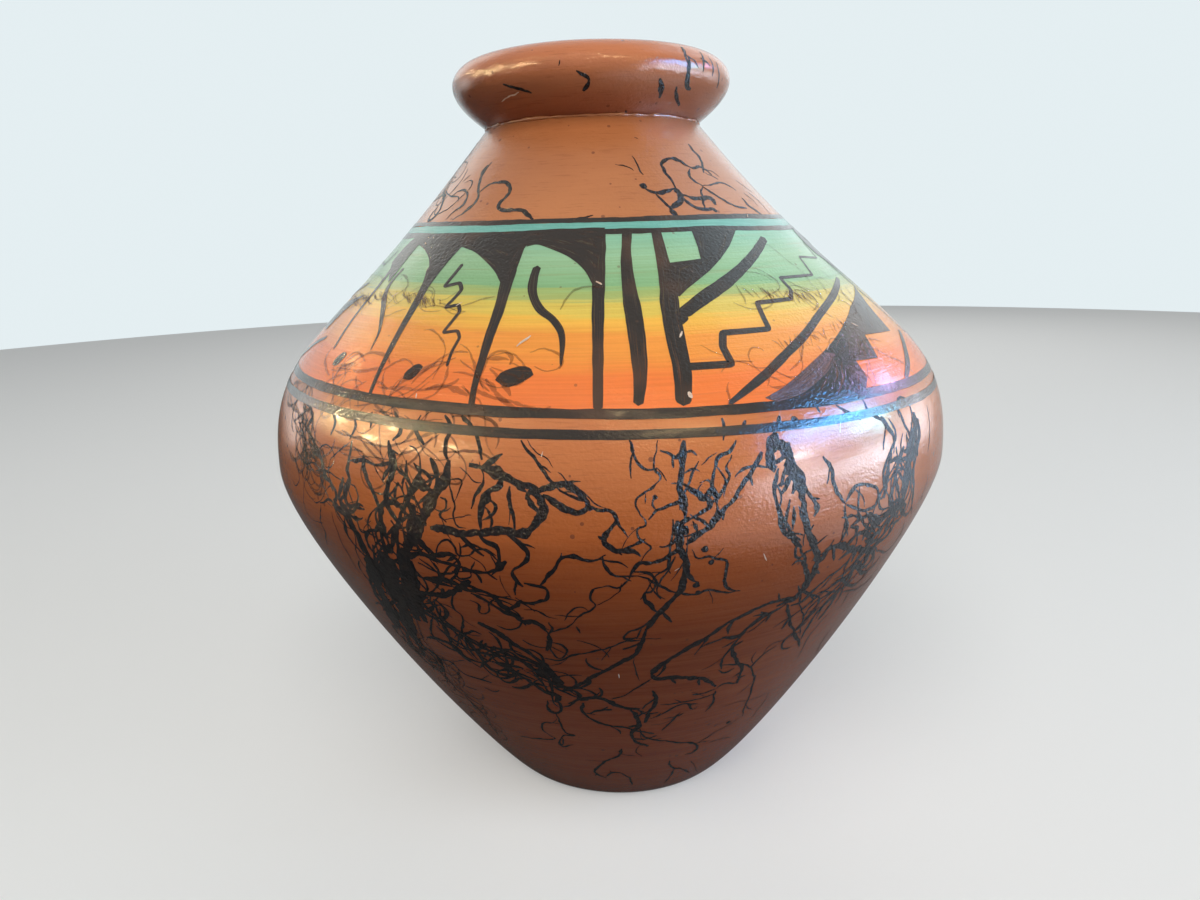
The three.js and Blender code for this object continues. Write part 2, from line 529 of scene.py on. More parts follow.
def bowedUnder(outline, depth):  # the face that lies a depth of clay under an outline
    under = []
    for i, p in enumerate(outline):
        along = (outline[min(i + 1, len(outline) - 1)] - outline[max(i - 1, 0)]).normalized()
        under.append(p + Vector((-along.y, along.x)) * depth)
    return under


def spinRound(bm, geom, steps):
    bmesh.ops.spin(bm, geom=geom, cent=(0, 0, 0), axis=(0, 0, 1), angle=math.tau,
                   steps=steps, use_merge=True, use_duplicate=False)
    bmesh.ops.remove_doubles(bm, verts=bm.verts, dist=weld)
    bmesh.ops.recalc_face_normals(bm, faces=bm.faces)


def turnedClay(name, outline, isInside, glaze):  # the outline runs up the outside and back down inside
    bm = bmesh.new()
    verts = [bm.verts.new((p.x, 0, p.y)) for p in outline]
    edges = [bm.edges.new(pair) for pair in zip(verts, verts[1:])]
    if outline[0].x > 0:
        edges.append(bm.edges.new((verts[-1], verts[0])))
    spinRound(bm, verts + edges, form["turnSteps"])
    for face in bm.faces:
        middle = face.calc_center_median()
        face.material_index = int(isInside(math.hypot(middle.x, middle.y), middle.z))
    for edge in bm.edges:
        edge.smooth = len(edge.link_faces) < 2 or edge.calc_face_angle() < math.radians(form["creaseAngle"])
    for vert in bm.verts:
        angle = math.atan2(vert.co.x, -vert.co.y)
        wobble = throwWobble(angle, vert.co.z) if vert.co.xy.length > 1 * mm else 0
        vert.co.x += handLean(vert.co.z) + wobble * math.sin(angle)
        vert.co.y -= wobble * math.cos(angle)
    return newPiece(name, bm, [glaze, innerClay])


def outlineFrom(outline, low, high):  # the run of an outline between two heights, with points at both ends
    ends = [Vector((outsideRadius(z), z)) for z in (low, high)]
    return [ends[0]] + [p for p in outline if low + 0.1 * mm < p.y < high - 0.1 * mm] + [ends[1]]


def behindOutside(radius, height):
    return radius < outsideRadius(height) - 1 * mm


def buildLowerWall():
    outside = outlineFrom(lowerOutline, form["footSeam"], form["bellyHeight"])
    inside = [p for p in bowedUnder(lowerOutline, form["wall"])[::3] if p.y > form["heelHeight"]]
    inside[-1] = Vector((bellyRadius - form["wall"], form["bellyHeight"]))
    heel = Vector((inside[0].x, form["footSeam"]))
    outline = outside + inside[::-1] + [heel]
    wall = turnedClay("firedLowerWall", outline, behindOutside, wallClay)
    followClay(wall)
    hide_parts("lower_wall")


def buildShoulderWall():
    outside = outlineFrom(shoulderOutline, form["bellyHeight"], creaseHeight)
    crease = outside[-1]
    outside[-1:] = [crease + (outside[-2] - crease) * share for share in (0.8, 0.6, 0.45, 0.3, 0.2, 0.1, 0)]
    inside = bowedUnder(shoulderOutline, form["wall"])[::3]
    inside[0] = Vector((bellyRadius - form["wall"], form["bellyHeight"]))
    throat = Vector((form["mouthRadius"], creaseHeight))
    outline = outside + [throat] + inside[::-1]
    wall = turnedClay("firedShoulderWall", outline, behindOutside, wallClay)
    followClay(wall, highest=creaseHeight - 3 * mm)
    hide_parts("shoulder_wall")


def buildRim():
    seat = Vector((form["mouthRadius"], creaseHeight))

    def isInside(radius, height):
        return radius < form["mouthRadius"] + 1 * mm or height < creaseHeight + 0.01 * mm

    rim = turnedClay("rolledRimCoil", rimFlank + rimOver + rimInward + [seat], isInside, rimClay)
    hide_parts("rolled_rim")


def buildFloor():
    bevel = form["footBevel"]
    edge = [Vector((form["footRadius"] - bevel * (1 - math.sin(t)), bevel * (1 - math.cos(t))))
            for t in (math.pi / 2 * i / 5 for i in range(6))]
    edge = [Vector((p.x + (outsideRadius(bevel) - form["footRadius"]) * p.y / bevel, p.y)) for p in edge]
    outside = edge + outlineFrom(lowerOutline, bevel, form["footSeam"])[1:]
    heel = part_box("floor_slab")[1].x - form["wall"] + 1 * mm
    ledge = [Vector((heel, form["footSeam"])), Vector((heel, floorTop)), Vector((0, floorTop))]

    def isInside(radius, height):
        return height < 0.05 * mm or height >= form["footSeam"] - 0.01 * mm

    slab = turnedClay("footSlab", [Vector((0, 0))] + outside + ledge, isInside, wallClay)
    followClay(slab, lowest=form["footBevel"])
    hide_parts("floor_slab")


buildFloor()
buildLowerWall()
buildShoulderWall()
buildRim()
frame["nodes"]["floor_fillet_coil"].data.materials.clear()
frame["nodes"]["floor_fillet_coil"].data.materials.append(innerClay)
print("clay pieces turned")

# The seam under the rim, where a little slip was squeezed out and wiped along


def buildSeamBead():
    bead = {"thickness": 0.7 * mm, "steps": 300, "sides": 8, "dip": 0.25 * mm}
    bm = bmesh.new()
    ring = bmesh.ops.create_circle(bm, segments=bead["sides"], radius=bead["thickness"])["verts"]
    middle = Vector((form["neckRadius"] + 0.15 * mm, 0, creaseHeight - 0.1 * mm))
    stand = Matrix.Rotation(math.pi / 2, 4, "X")
    bmesh.ops.transform(bm, matrix=Matrix.Translation(middle) @ stand, verts=ring)
    spinRound(bm, ring + bm.edges[:], bead["steps"])
    for vert in bm.verts:
        angle = math.atan2(vert.co.x, -vert.co.y)
        level = noise.noise(Vector((math.sin(angle), math.cos(angle), 0)) * 3.1)
        ragged = noise.noise(Vector((math.sin(angle), math.cos(angle), 2)) * 14)
        swell = 0.75 + 0.7 * level + 0.75 * ragged
        core = Vector((math.sin(angle), -math.cos(angle), 0)) * middle.x + Vector((0, 0, middle.z))
        vert.co = core + (vert.co - core) * max(swell, 0.15)
        vert.co.z += bead["dip"] * level
        vert.co.x += handLean(middle.z) + throwWobble(angle, middle.z) * math.sin(angle)
        vert.co.y -= throwWobble(angle, middle.z) * math.cos(angle)
    newPiece("rimSeamSlip", bm, [wallClay])


buildSeamBead()

# Painted band: level films laid round the shoulder

band = {
    "topLine": (196.7, 198.0),  # heights in millimetres, at the side that faces the camera
    "turquoise": (194.7, 196.75),
    "underLine": (193.3, 194.75),
    "ground": (151.6, 195.2),
    "footLine": (151.5, 153.75),
    "beltLine": (147.0, 149.25),
    "ringSteps": 480,
    "figureTurns": ((0, 1), (121.7, 0.92), (236.5, 0.92)),  # degrees round, and how wide the set is drawn
    "dipAtFoot": 2.6,  # how far a ring dips to the right of the front, in millimetres
    "dipLost": 2.2,  # how much of that is gone at the top of the band
    "lowSway": 152,  # heights in millimetres between which the dip changes
    "highSway": 193,
}
lifts = {  # height of each layer over the clay
    "hair": 0.02 * mm,
    "rimHair": 0.03 * mm,
    "blot": 0.05 * mm,
    "ground": 0.09 * mm,
    "stripe": 0.09 * mm + 0.02 * mm,
    "line": 0.12 * mm,
    "figure": 0.16 * mm,
    "over": 0.2 * mm,
    "nick": 0.26 * mm,
    "perStroke": 0.0006 * mm,  # lifts each stroke of a figure over the one before
}


def newMarks():
    bm = bmesh.new()
    return bm, [bm.verts.layers.float.new(name) for name in ("along", "across", "strokeSeed")]


def handSway(degrees, height):  # a brushed ring is never quite level: it dips to the right of the front
    angle = math.radians(degrees)
    depth = band["dipAtFoot"] - band["dipLost"] * eased(band["lowSway"], band["highSway"], height)
    slow = noise.noise(Vector((math.sin(angle), math.cos(angle), height * 0.11)) * 1.7)
    return -depth * math.sin(angle) + 0.35 * slow


def paintEdge(degrees, height, seed):
    angle = math.radians(degrees)
    around = Vector((math.sin(angle), math.cos(angle), seed))
    ragged = 0.22 * noise.noise(around * 5) + 0.12 * noise.noise(around * 19)
    return (height + handSway(degrees, height) + ragged) * mm


def bandEdges(degrees):
    return (band["footLine"][1] + handSway(degrees, band["lowSway"]),
            band["underLine"][0] + handSway(degrees, band["highSway"]))


def bandPlace(degrees, height, turn):  # moves a place of the front set round the pot, between the same lines
    low, high = bandEdges(degrees)
    share = (height / mm - low) / (high - low)
    moved = degrees * turn[1] + turn[0]
    newLow, newHigh = bandEdges(moved)
    return moved, (newLow + share * (newHigh - newLow)) * mm


def buildFilm(name, heights, rows, lift, material, seed):
    bm, (along, across, strokeSeed) = newMarks()
    low, high = heights
    grid = bmesh.ops.create_grid(bm, x_segments=band["ringSteps"], y_segments=rows, size=0.5)
    for vert in grid["verts"]:
        degrees = (vert.co.x + 0.5) * 360 + 180  # the seam of the film is at the back
        share = vert.co.y + 0.5
        vert[across], vert[along], vert[strokeSeed] = share * 2 - 1, (vert.co.x + 0.5) * 0.6, seed
        height = paintEdge(degrees, low, seed) * (1 - share) + paintEdge(degrees, high, seed + 3) * share
        vert.co = onPot(degrees, height, lift)[0]
    bmesh.ops.remove_doubles(bm, verts=bm.verts, dist=weld)
    followClay(newPiece(name, bm, [material]))


# Paint materials: each shows the strokes it was brushed on with

paintLook = {
    "ink": (0.030, 0.021, 0.016),
    "inkThin": (0.115, 0.055, 0.030),
    "turquoise": (0.150, 0.430, 0.360),
    "turquoisePale": (0.22, 0.52, 0.46),
    "wash": (0.052, 0.022, 0.014),
    "washThin": (0.17, 0.060, 0.032),
    "carbon": (0.007, 0.0065, 0.009),
    "carbonThin": (0.024, 0.016, 0.014),
    "ghost": (0.10, 0.035, 0.015),
    "ghostThin": (0.22, 0.075, 0.025),
    "faded": (0.05, 0.026, 0.016),
    "fadedThin": (0.12, 0.05, 0.025),
    "washes": ((34, 34, 52), 2, 0.52, 0.70, 0.6),  # stretch, detail, lower and upper limit, and strength
    "specks": (640.0, 0.10, 0.35),
    "dryTint": 0.75,
    "dryRelief": -0.08,
    "peel": 3.2,
    "blisters": 3.2,
    "blisterDepth": 0.24 * mm,
}
sunset = {
    "lowest": 150 * mm,
    "highest": 196.5 * mm,
    "slope": 0.030,  # the colours sink towards the right
    "wave": 3.0 * mm,  # how far their edges stray, slowly and in fine streaks
    "streak": 3.6 * mm,
    "bristles": 0.30,
    "bristleTint": (0.74, 0.66, 0.52),
    "bristleRelief": 0.16,
    "thinPlaces": ((22, 22, 700), 4, 0.58, 0.75, 0.22),
    "specks": (520.0, 0.06, 0.45),
    "peel": 2.2,
    "steps": [  # from the foot line up; place in millimetres of height, and colour
        (151, (0.95, 0.211, 0.044)), (160.5, (0.96, 0.232, 0.0464)), (162.8, (0.96, 0.294, 0.0496)),
        (165.5, (0.96, 0.345, 0.0544)), (169.4, (0.96, 0.355, 0.056)), (170.4, (0.95, 0.433, 0.064)),
        (173.2, (0.95, 0.536, 0.076)), (174.4, (0.821, 0.587, 0.1)), (177.2, (0.756, 0.603, 0.12)),
        (178.2, (0.437, 0.515, 0.166)), (180.2, (0.374, 0.515, 0.18)), (180.8, (0.25, 0.479, 0.233)),
        (183.5, (0.286, 0.52, 0.275)), (187.5, (0.338, 0.572, 0.337)), (192.5, (0.276, 0.556, 0.38)),
        (196, (0.224, 0.536, 0.389))],
}


def sunsetPaint():
    material, tree, shader = newMaterial("sunsetPaint")
    coords = newNode(tree, "ShaderNodeTexCoord")
    parted = newNode(tree, "ShaderNodeSeparateXYZ", {"Vector": coords.outputs["Object"]})
    level = mathNode(tree, "MULTIPLY_ADD", parted.outputs["X"], sunset["slope"], parted.outputs["Z"])
    for pattern, stray in ((noiseAt(tree, (13, 13, 60), 2), sunset["wave"]),
                           (noiseAt(tree, (26, 26, 1150), 3, 0.6), sunset["streak"])):
        level = mathNode(tree, "ADD", level, mathNode(tree, "MULTIPLY_ADD", pattern, stray, -stray / 2))
    lowest, reach = sunset["lowest"], sunset["highest"] - sunset["lowest"]
    share = mathNode(tree, "DIVIDE", mathNode(tree, "SUBTRACT", level, lowest), reach)
    color = colorSteps(tree, share, [((h * mm - lowest) / reach, color) for h, color in sunset["steps"]])
    bristle = remap(tree, noiseAt(tree, (30, 30, 2300), 2), 0.32, 0.68)
    color = tinted(tree, color, bristle, sunset["bristles"], sunset["bristleTint"], "MULTIPLY")
    color = mottled(tree, color, clayLook["dark"], sunset["thinPlaces"])
    color, _ = specked(tree, color, clayLook["speck"], sunset["specks"])
    tree.links.new(color, shader.inputs["Base Color"])
    tree.links.new(mathNode(tree, "MULTIPLY_ADD", bristle, 0.07, 0.07), shader.inputs["Roughness"])
    lacquerOver(tree, shader, bristle, sunset["bristleRelief"], sunset["peel"])
    return material


def brushedPaint(name, body, thin, dryness, bristles, see=0.0):
    material, tree, shader = newMaterial(name)
    thinned = paintLook[thin]
    dry = useGroup(tree, bristleLines, Bristles=bristles, Dryness=dryness)["Mask"]
    color = mottled(tree, paintLook[body], thinned, paintLook["washes"])
    color = tinted(tree, color, dry, paintLook["dryTint"], thinned)
    color, _ = specked(tree, color, thinned, paintLook["specks"])
    tree.links.new(color, shader.inputs["Base Color"])
    if see:
        tree.links.new(mathNode(tree, "MULTIPLY_ADD", dry, -see, 1.0), shader.inputs["Alpha"])
    tree.links.new(mathNode(tree, "MULTIPLY_ADD", dry, 0.08, 0.07), shader.inputs["Roughness"])
    lacquerOver(tree, shader, dry, paintLook["dryRelief"], paintLook["peel"])
    return material


def carbonMark(name, body, thin, see=0.0):  # where the hair burnt on: smoke-black, a little blistered
    material, tree, shader = newMaterial(name, roughness=0.13, coat=0.0, specular=0.2)
    soot = remap(tree, noiseAt(tree, (420, 420, 420), 4), 0.35, 0.7)
    tree.links.new(mixColors(tree, soot, paintLook[body], paintLook[thin]), shader.inputs["Base Color"])
    shader.inputs["Alpha"].default_value = 1 - see
    blister = noiseAt(tree, (1150, 1150, 1150), 3)
    lacquerOver(tree, shader, blister, paintLook["blisters"], 0.0, paintLook["blisterDepth"])
    return material


bandPaint = sunsetPaint()
turquoisePaint = brushedPaint("turquoisePaint", "turquoise", "turquoisePale", 0.32, 2.5)
linePaint = brushedPaint("linePaint", "ink", "inkThin", 0.2, 2.5)
figurePaint = brushedPaint("figurePaint", "ink", "inkThin", 0.24, 6.0, see=0.25)
washPaint = brushedPaint("washPaint", "wash", "washThin", 0.36, 9.0)
carbon = carbonMark("carbonMark", "carbon", "carbonThin")
ghostCarbon = carbonMark("paintedOverCarbon", "ghost", "ghostThin", see=0.66)
fadedCarbon = carbonMark("fadedCarbon", "faded", "fadedThin", see=0.45)

buildFilm("sunsetBand", band["ground"], 40, lifts["ground"], bandPaint, 1)
buildFilm("turquoiseStripe", band["turquoise"], 3, lifts["stripe"], turquoisePaint, 5)
for line, rows, seed in (("topLine", 2, 9), ("underLine", 2, 13), ("footLine", 3, 17), ("beltLine", 3, 21)):
    buildFilm(line, band[line], rows, lifts["line"], linePaint, seed)
print("band and lines painted")

# Strokes and marks that lie on the clay


def paddedPoints(places):  # points on the pot, with one more beyond each end to steer the curve by
    points = [onPot(*place)[0] for place in places]
    return [points[0] * 2 - points[1]] + points + [points[-1] * 2 - points[-2]]


def throughPlaces(places, spacing):  # an even, smooth run of points on the pot through a few places
    points = paddedPoints(places)
    run = []
    for a, b, c, d in zip(points, points[1:], points[2:], points[3:]):
        reach = (c - b).length
        first = b + (c - a).normalized() * reach * 0.36
        second = c - (d - b).normalized() * reach * 0.36
        count = max(round(reach / spacing), 1) + 1
        run += interpolate_bezier(b, first, second, c, count)[:-1]
    return run + [points[-2]]


def acrossRun(run, i):  # the way across a run, level with the clay
    ahead = run[min(i + 1, len(run) - 1)] - run[max(i - 1, 0)]
    return onPot(*potPlace(run[i]))[1].cross(ahead).normalized()


def layRibbon(marks, run, widths, lift, seed, cells=2):  # a strip of paint or soot, pressed onto the clay
    bm, (along, across, strokeSeed) = marks
    verts = bmesh.ops.create_grid(bm, x_segments=len(run) - 1, y_segments=cells, size=0.5)["verts"]
    travelled = 0.0
    for i, point in enumerate(run):
        side = acrossRun(run, i)
        travelled += (point - run[i - 1]).length if i else 0
        for j in range(cells + 1):
            share = 2 * j / cells - 1
            vert = verts[j * len(run) + i]
            vert.co = onPot(*potPlace(point + side * share * widths[i] / 2), lift)[0]
            vert[along], vert[across], vert[strokeSeed] = travelled, share, seed


def layPatch(marks, firstEdge, secondEdge, rows, lift, seed):  # fills the space between two drawn edges
    bm, (along, across, strokeSeed) = marks
    columns = len(firstEdge)
    verts = bmesh.ops.create_grid(bm, x_segments=columns - 1, y_segments=rows, size=0.5)["verts"]
    for j in range(rows + 1):
        share = j / rows
        for i in range(columns):
            vert = verts[j * columns + i]
            place = potPlace(firstEdge[i].lerp(secondEdge[i], share))
            vert.co = onPot(*place, lift)[0]
            vert[along], vert[across], vert[strokeSeed] = i * 2 * mm, share * 2 - 1, seed


def layBlot(marks, place, radius, lift, seed, stretch=1.0, turn=0.0):
    bm, layers = marks
    center, outward = onPot(*place)
    right = Vector((-outward.y, outward.x, 0)).normalized()
    up = outward.cross(right)
    verts = bmesh.ops.create_circle(bm, cap_ends=True, cap_tris=True, segments=18, radius=1)["verts"]
    for vert in verts:
        angle = math.atan2(vert.co.y, vert.co.x)
        ragged = noise.noise(Vector((math.cos(angle), math.sin(angle), seed)) * 1.4)
        reach = vert.co.xy.length * radius * (1 + 0.35 * ragged)
        x, y = reach * stretch * math.cos(angle), reach * math.sin(angle)
        x, y = x * math.cos(turn) - y * math.sin(turn), x * math.sin(turn) + y * math.cos(turn)
        vert.co = onPot(*potPlace(center + right * x + up * y), lift)[0]
        for layer, value in zip(layers, (x, y / radius, seed)):
            vert[layer] = value


def finishMarks(name, marks, material):
    bm = marks[0]
    bmesh.ops.recalc_face_normals(bm, faces=bm.faces)
    for face in bm.faces:
        middle = face.calc_center_median()
        if face.normal.dot(onPot(*potPlace(middle))[1]) < 0:
            face.normal_flip()
    followClay(newPiece(name, bm, [material]))


def roundedWidths(count, widths, spacing):  # spreads a few widths in millimetres along a round-ended stroke
    spread = []
    length = (count - 1) * spacing
    widths = [w * mm for w in widths]
    for i in range(count):
        share = i / max(count - 1, 1) * (len(widths) - 1)
        k = min(int(share), len(widths) - 2)
        width = widths[k] + (widths[k + 1] - widths[k]) * (share - k)
        for distance in (i * spacing, length - i * spacing):
            if distance < width / 2:
                width = min(width, 2 * math.sqrt(max(distance * (width - distance), 0)) + 0.1 * mm)
        spread.append(width)
    return spread


# Feather, bar and step figures, drawn on the front and repeated round the pot.
# Each stroke has its widths in millimetres and its course in pixels of the photograph's frame.

strokeSpacing, zigzagSpacing = 0.8 * mm, 0.5 * mm
featherStrokes = [
    ([4.6, 3.6, 3.1, 2.8, 2.4, 1.8, 1.7], [(511, 266), (506, 286), (499, 311), (490, 336), (482, 362),
                                           (475, 386), (471, 410)]),
    ([4.4, 3.4, 3.0, 2.5, 2.1, 1.6, 1.3], [(434, 264), (426, 284), (416, 303), (405, 322), (392, 346),
                                           (380, 370), (369, 397)]),
    ([2.8, 2.6, 1.9, 1.6, 1.4, 1.2], [(408, 248), (397, 262), (380, 284), (361, 308), (345, 330),
                                      (333, 350)]),
    ([2.2, 2.5, 2.4, 2.2, 1.9, 1.4, 0.5], [(538, 266), (534, 279), (533, 293), (540, 309), (554, 321),
                                           (562, 336), (561, 367)]),
    ([1.3, 1.8, 2.3, 1.8, 1.0, 0.4], [(404, 268), (392, 281), (385, 294), (383, 307), (381, 320),
                                      (378, 334), (370, 351)]),
]
featherZigzag = ([1.3, 1.2, 0.9], [
    (463, 264), (454, 275), (444, 287), (460, 283), (462, 290), (454, 299), (445, 308), (459, 305),
    (460, 312), (452, 322), (443, 333), (458, 331), (460, 338), (452, 352), (447, 367)])
featherCaps = [  # the dark ground over each feather: its upper edge under the stripe, then the arch
    ([(527, 231), (545, 230), (560, 229), (575, 229), (590, 228), (605, 228)],
     [(527, 247), (538, 245), (553, 250), (570, 258), (584, 270), (593, 286)]),
    ([(455, 235), (468, 234), (482, 233), (497, 233), (513, 232), (531, 231)],
     [(461, 247), (474, 252), (485, 261), (495, 272), (503, 285), (514, 278)]),
    ([(514, 234), (520, 233), (527, 232), (531, 231)], [(506, 294), (513, 272), (520, 256), (529, 243)]),
    ([(415, 237), (424, 236), (434, 236), (445, 235), (458, 234)],
     [(419, 245), (425, 251), (429, 262), (427, 284), (436, 277)]),
    ([(436, 236), (446, 236), (456, 235), (463, 234)], [(424, 294), (437, 276), (450, 260), (463, 246)]),
    ([(392, 262), (402, 250), (411, 241), (418, 237)], [(388, 283), (400, 268), (411, 254), (420, 244)]),
]
featherDots = [((515, 376), 5.0, 2.5, 20), ((413, 372), 3.2, 1.8, 52), ((339, 359), 3.0, 1.9, 56)]
barStrokes = [
    ([3.2, 3.4, 3.2, 2.7, 2.4], [(600, 229), (599, 270), (598, 315), (598, 360), (598, 411)]),
    ([2.5, 2.8, 3.6, 4.6, 4.4, 3.6, 2.4], [(627, 229), (626, 258), (629, 288), (634, 318), (638, 348),
                                           (640, 378), (638, 406)]),
    ([2.8, 3.4, 4.6, 5.0, 5.0, 4.6, 3.8], [(655, 229), (661, 255), (667, 282), (670, 310), (676, 342),
                                           (682, 372), (683, 406)]),
    ([2.4, 2.8, 3.4, 4.2, 3.6], [(764, 238), (750, 259), (727, 281), (702, 299), (681, 315)]),
]
barDots = [((679, 319), 2.5, 2.2, 0)]
barCap = ([(691, 231), (697, 247), (700, 259), (686, 261), (669, 263), (672, 280), (677, 296)],
          [(735, 231), (729, 246), (720, 259), (709, 271), (697, 281), (687, 289), (679, 297)])
stepStrokes = [([1.5, 2.2, 2.3, 2.2, 2.3, 2.4, 2.4, 2.3, 1.2],
                [(829, 256), (838, 278), (834, 293), (819, 314), (801, 338), (785, 354), (765, 374),
                 (747, 389), (728, 404)]),
               ([1.4, 2.0, 2.4, 1.6], [(899, 330), (904, 345), (907, 362), (905, 379)])]
stepZigzag = ([0.7, 0.9, 1.1, 1.4, 1.7, 2.1, 2.3], [
    (816, 245), (803, 242), (817, 258), (799, 257), (812, 275), (779, 278), (790, 290), (790, 299),
    (756, 303), (762, 317), (768, 329), (722, 333), (722, 347), (731, 364), (684, 367)])
stepWedge = ([(854, 286), (850, 307), (842, 326), (832, 341), (823, 351), (811, 362), (798, 374),
              (784, 386), (766, 398)],
             [(868, 305), (879, 318), (890, 331), (864, 335), (877, 358), (855, 361), (866, 378),
              (864, 396), (830, 404)])
thinWash = ([(822, 352), (811, 362), (798, 374), (784, 386), (764, 398)],
            [(834, 354), (829, 368), (816, 382), (800, 394), (776, 402)])


def pixelPlaces(pixels):
    return [place for place in map(seenAt, pixels) if place]


def courseOf(pixels, turn):
    return [bandPlace(*place, turn) for place in pixelPlaces(pixels)]


def figureLift(seed):
    return lifts["figure"] + seed * lifts["perStroke"]


def layStroke(marks, widths, pixels, turn, seed):
    run = throughPlaces(courseOf(pixels, turn), strokeSpacing)
    spread = roundedWidths(len(run), widths, strokeSpacing)
    shaky = [w * (1 + 0.10 * noise.noise(Vector((i * 0.17, seed, turn[0])))) for i, w in enumerate(spread)]
    layRibbon(marks, run, shaky, figureLift(seed), seed, 4)


def layZigzag(marks, widths, pixels, turn, seed):  # straight legs with small round corners
    corners = [onPot(*place)[0] for place in courseOf(pixels, turn)]
    run = []
    for a, b in zip(corners, corners[1:]):
        steps = max(round((b - a).length / zigzagSpacing), 2)
        run += [a.lerp(b, k / steps) for k in range(steps)]
    run.append(corners[-1])
    for _ in range(2):
        run = [run[0]] + [(p + q * 2 + r) / 4 for p, q, r in zip(run, run[1:], run[2:])] + [run[-1]]
    layRibbon(marks, run, roundedWidths(len(run), widths, zigzagSpacing), figureLift(seed), seed)


def straightEdge(places):
    corners = [onPot(*p)[0] for p in places]
    return [a.lerp(b, k / 4) for a, b in zip(corners, corners[1:]) for k in range(4)] + [corners[-1]]


def curvedEdge(places):  # the same count of points on every leg, so two edges match up
    points = paddedPoints(places)
    edge = []
    for a, b, c, d in zip(points, points[1:], points[2:], points[3:]):
        edge += interpolate_bezier(b, b + (c - a) / 6, c - (d - b) / 6, c, 7)[:-1]
    return edge + [points[-2]]


def layCap(marks, edges, turn, seed, drawEdge=curvedEdge):
    first, second = (drawEdge(courseOf(pixels, turn)) for pixels in edges)
    layPatch(marks, first, second, 10, figureLift(seed), seed)


def layDots(marks, dots, turn, seed):
    for pixel, length, breadth, tilt in dots:
        place = bandPlace(*seenAt(pixel), turn)
        layBlot(marks, place, breadth * mm, lifts["figure"], seed, length / breadth, math.radians(tilt))


def layStrokes(marks, strokes, turn, seed):
    for i, (widths, pixels) in enumerate(strokes):
        layStroke(marks, widths, pixels, turn, seed + i)


def paintFigures():
    feathers, bars, steps, washes = newMarks(), newMarks(), newMarks(), newMarks()
    for repeat, turn in enumerate(band["figureTurns"]):
        layStrokes(feathers, featherStrokes, turn, 11 + 7 * repeat)
        layZigzag(feathers, *featherZigzag, turn, 3 + repeat)
        for i, edges in enumerate(featherCaps):
            layCap(feathers, edges, turn, 31 + i + 7 * repeat)
        layDots(feathers, featherDots, turn, 7 + repeat)
        layStrokes(bars, barStrokes, turn, 17 + 7 * repeat)
        layDots(bars, barDots, turn, 9 + repeat)
        layCap(bars, barCap, turn, 41 + repeat, straightEdge)
        layStrokes(steps, stepStrokes, turn, 23 + 7 * repeat)
        layZigzag(steps, *stepZigzag, turn, 5 + repeat)
        layCap(steps, stepWedge, turn, 51 + repeat, straightEdge)
        layCap(washes, thinWash, turn, 91 + repeat)
    for name, marks in (("featherFigures", feathers), ("barFigures", bars), ("stepFigures", steps)):
        finishMarks(name, marks, figurePaint)
    finishMarks("thinnedWash", washes, washPaint)


paintFigures()
print("figures painted")

# Smoke-black marks of burnt hair. Each has its width in millimetres and its course in pixels
# of the photograph's frame, so it lies on the clay where the camera sees it.

hair = {
    "spacing": 0.7 * mm,
    "scorch": 1.1,  # how much wider than the hair its mark is
    "wiggle": 0.42 * mm,  # how far a hair strays from its drawn course
    "kinks": ((160, 0, 1.7), (520, 7, 0.8)),  # waves to a metre, layer of the noise, and strength
    "uneven": 0.45,  # how much its width varies
    "swells": ((170, 3, 1.5), (750, 5, 0.9)),
    "knots": 1.7,  # how far it swells where it curled up and burnt through
    "knotting": ((330, 9, 1),),
    "barbEvery": 12 * mm,
    "barbs": (2.5 * mm, 9 * mm),
    "barbTurns": (0.3, 1.1),  # radians off the hair it stands on
    "barbWidths": (0.35, 0.65),  # shares of that hair's width
    "barbGaps": (0.4, 1.8),  # shares of the usual distance
    "barbed": 0.55,  # a drawn hair wider than this has barbs; millimetres
    "barbedTangle": 0.7,
    "fineEnd": 2.4 * mm,  # length over which an end thins out
    "steadiness": 0.87,  # share of its bend that a loose hair keeps from step to step
    "restlessness": 0.055,  # radians that a step adds to the bend
    "pull": 0.024,  # how hard a loose hair is turned back to its tangle
    "scatter": 0.8,  # share of the tangle's half width within which its hairs start
    "fanning": 0.6,  # radians by which they start off its line
    "lowest": 3 * mm,  # heights between which a loose hair may run
    "highest": vaseHeight - 2 * mm,
}
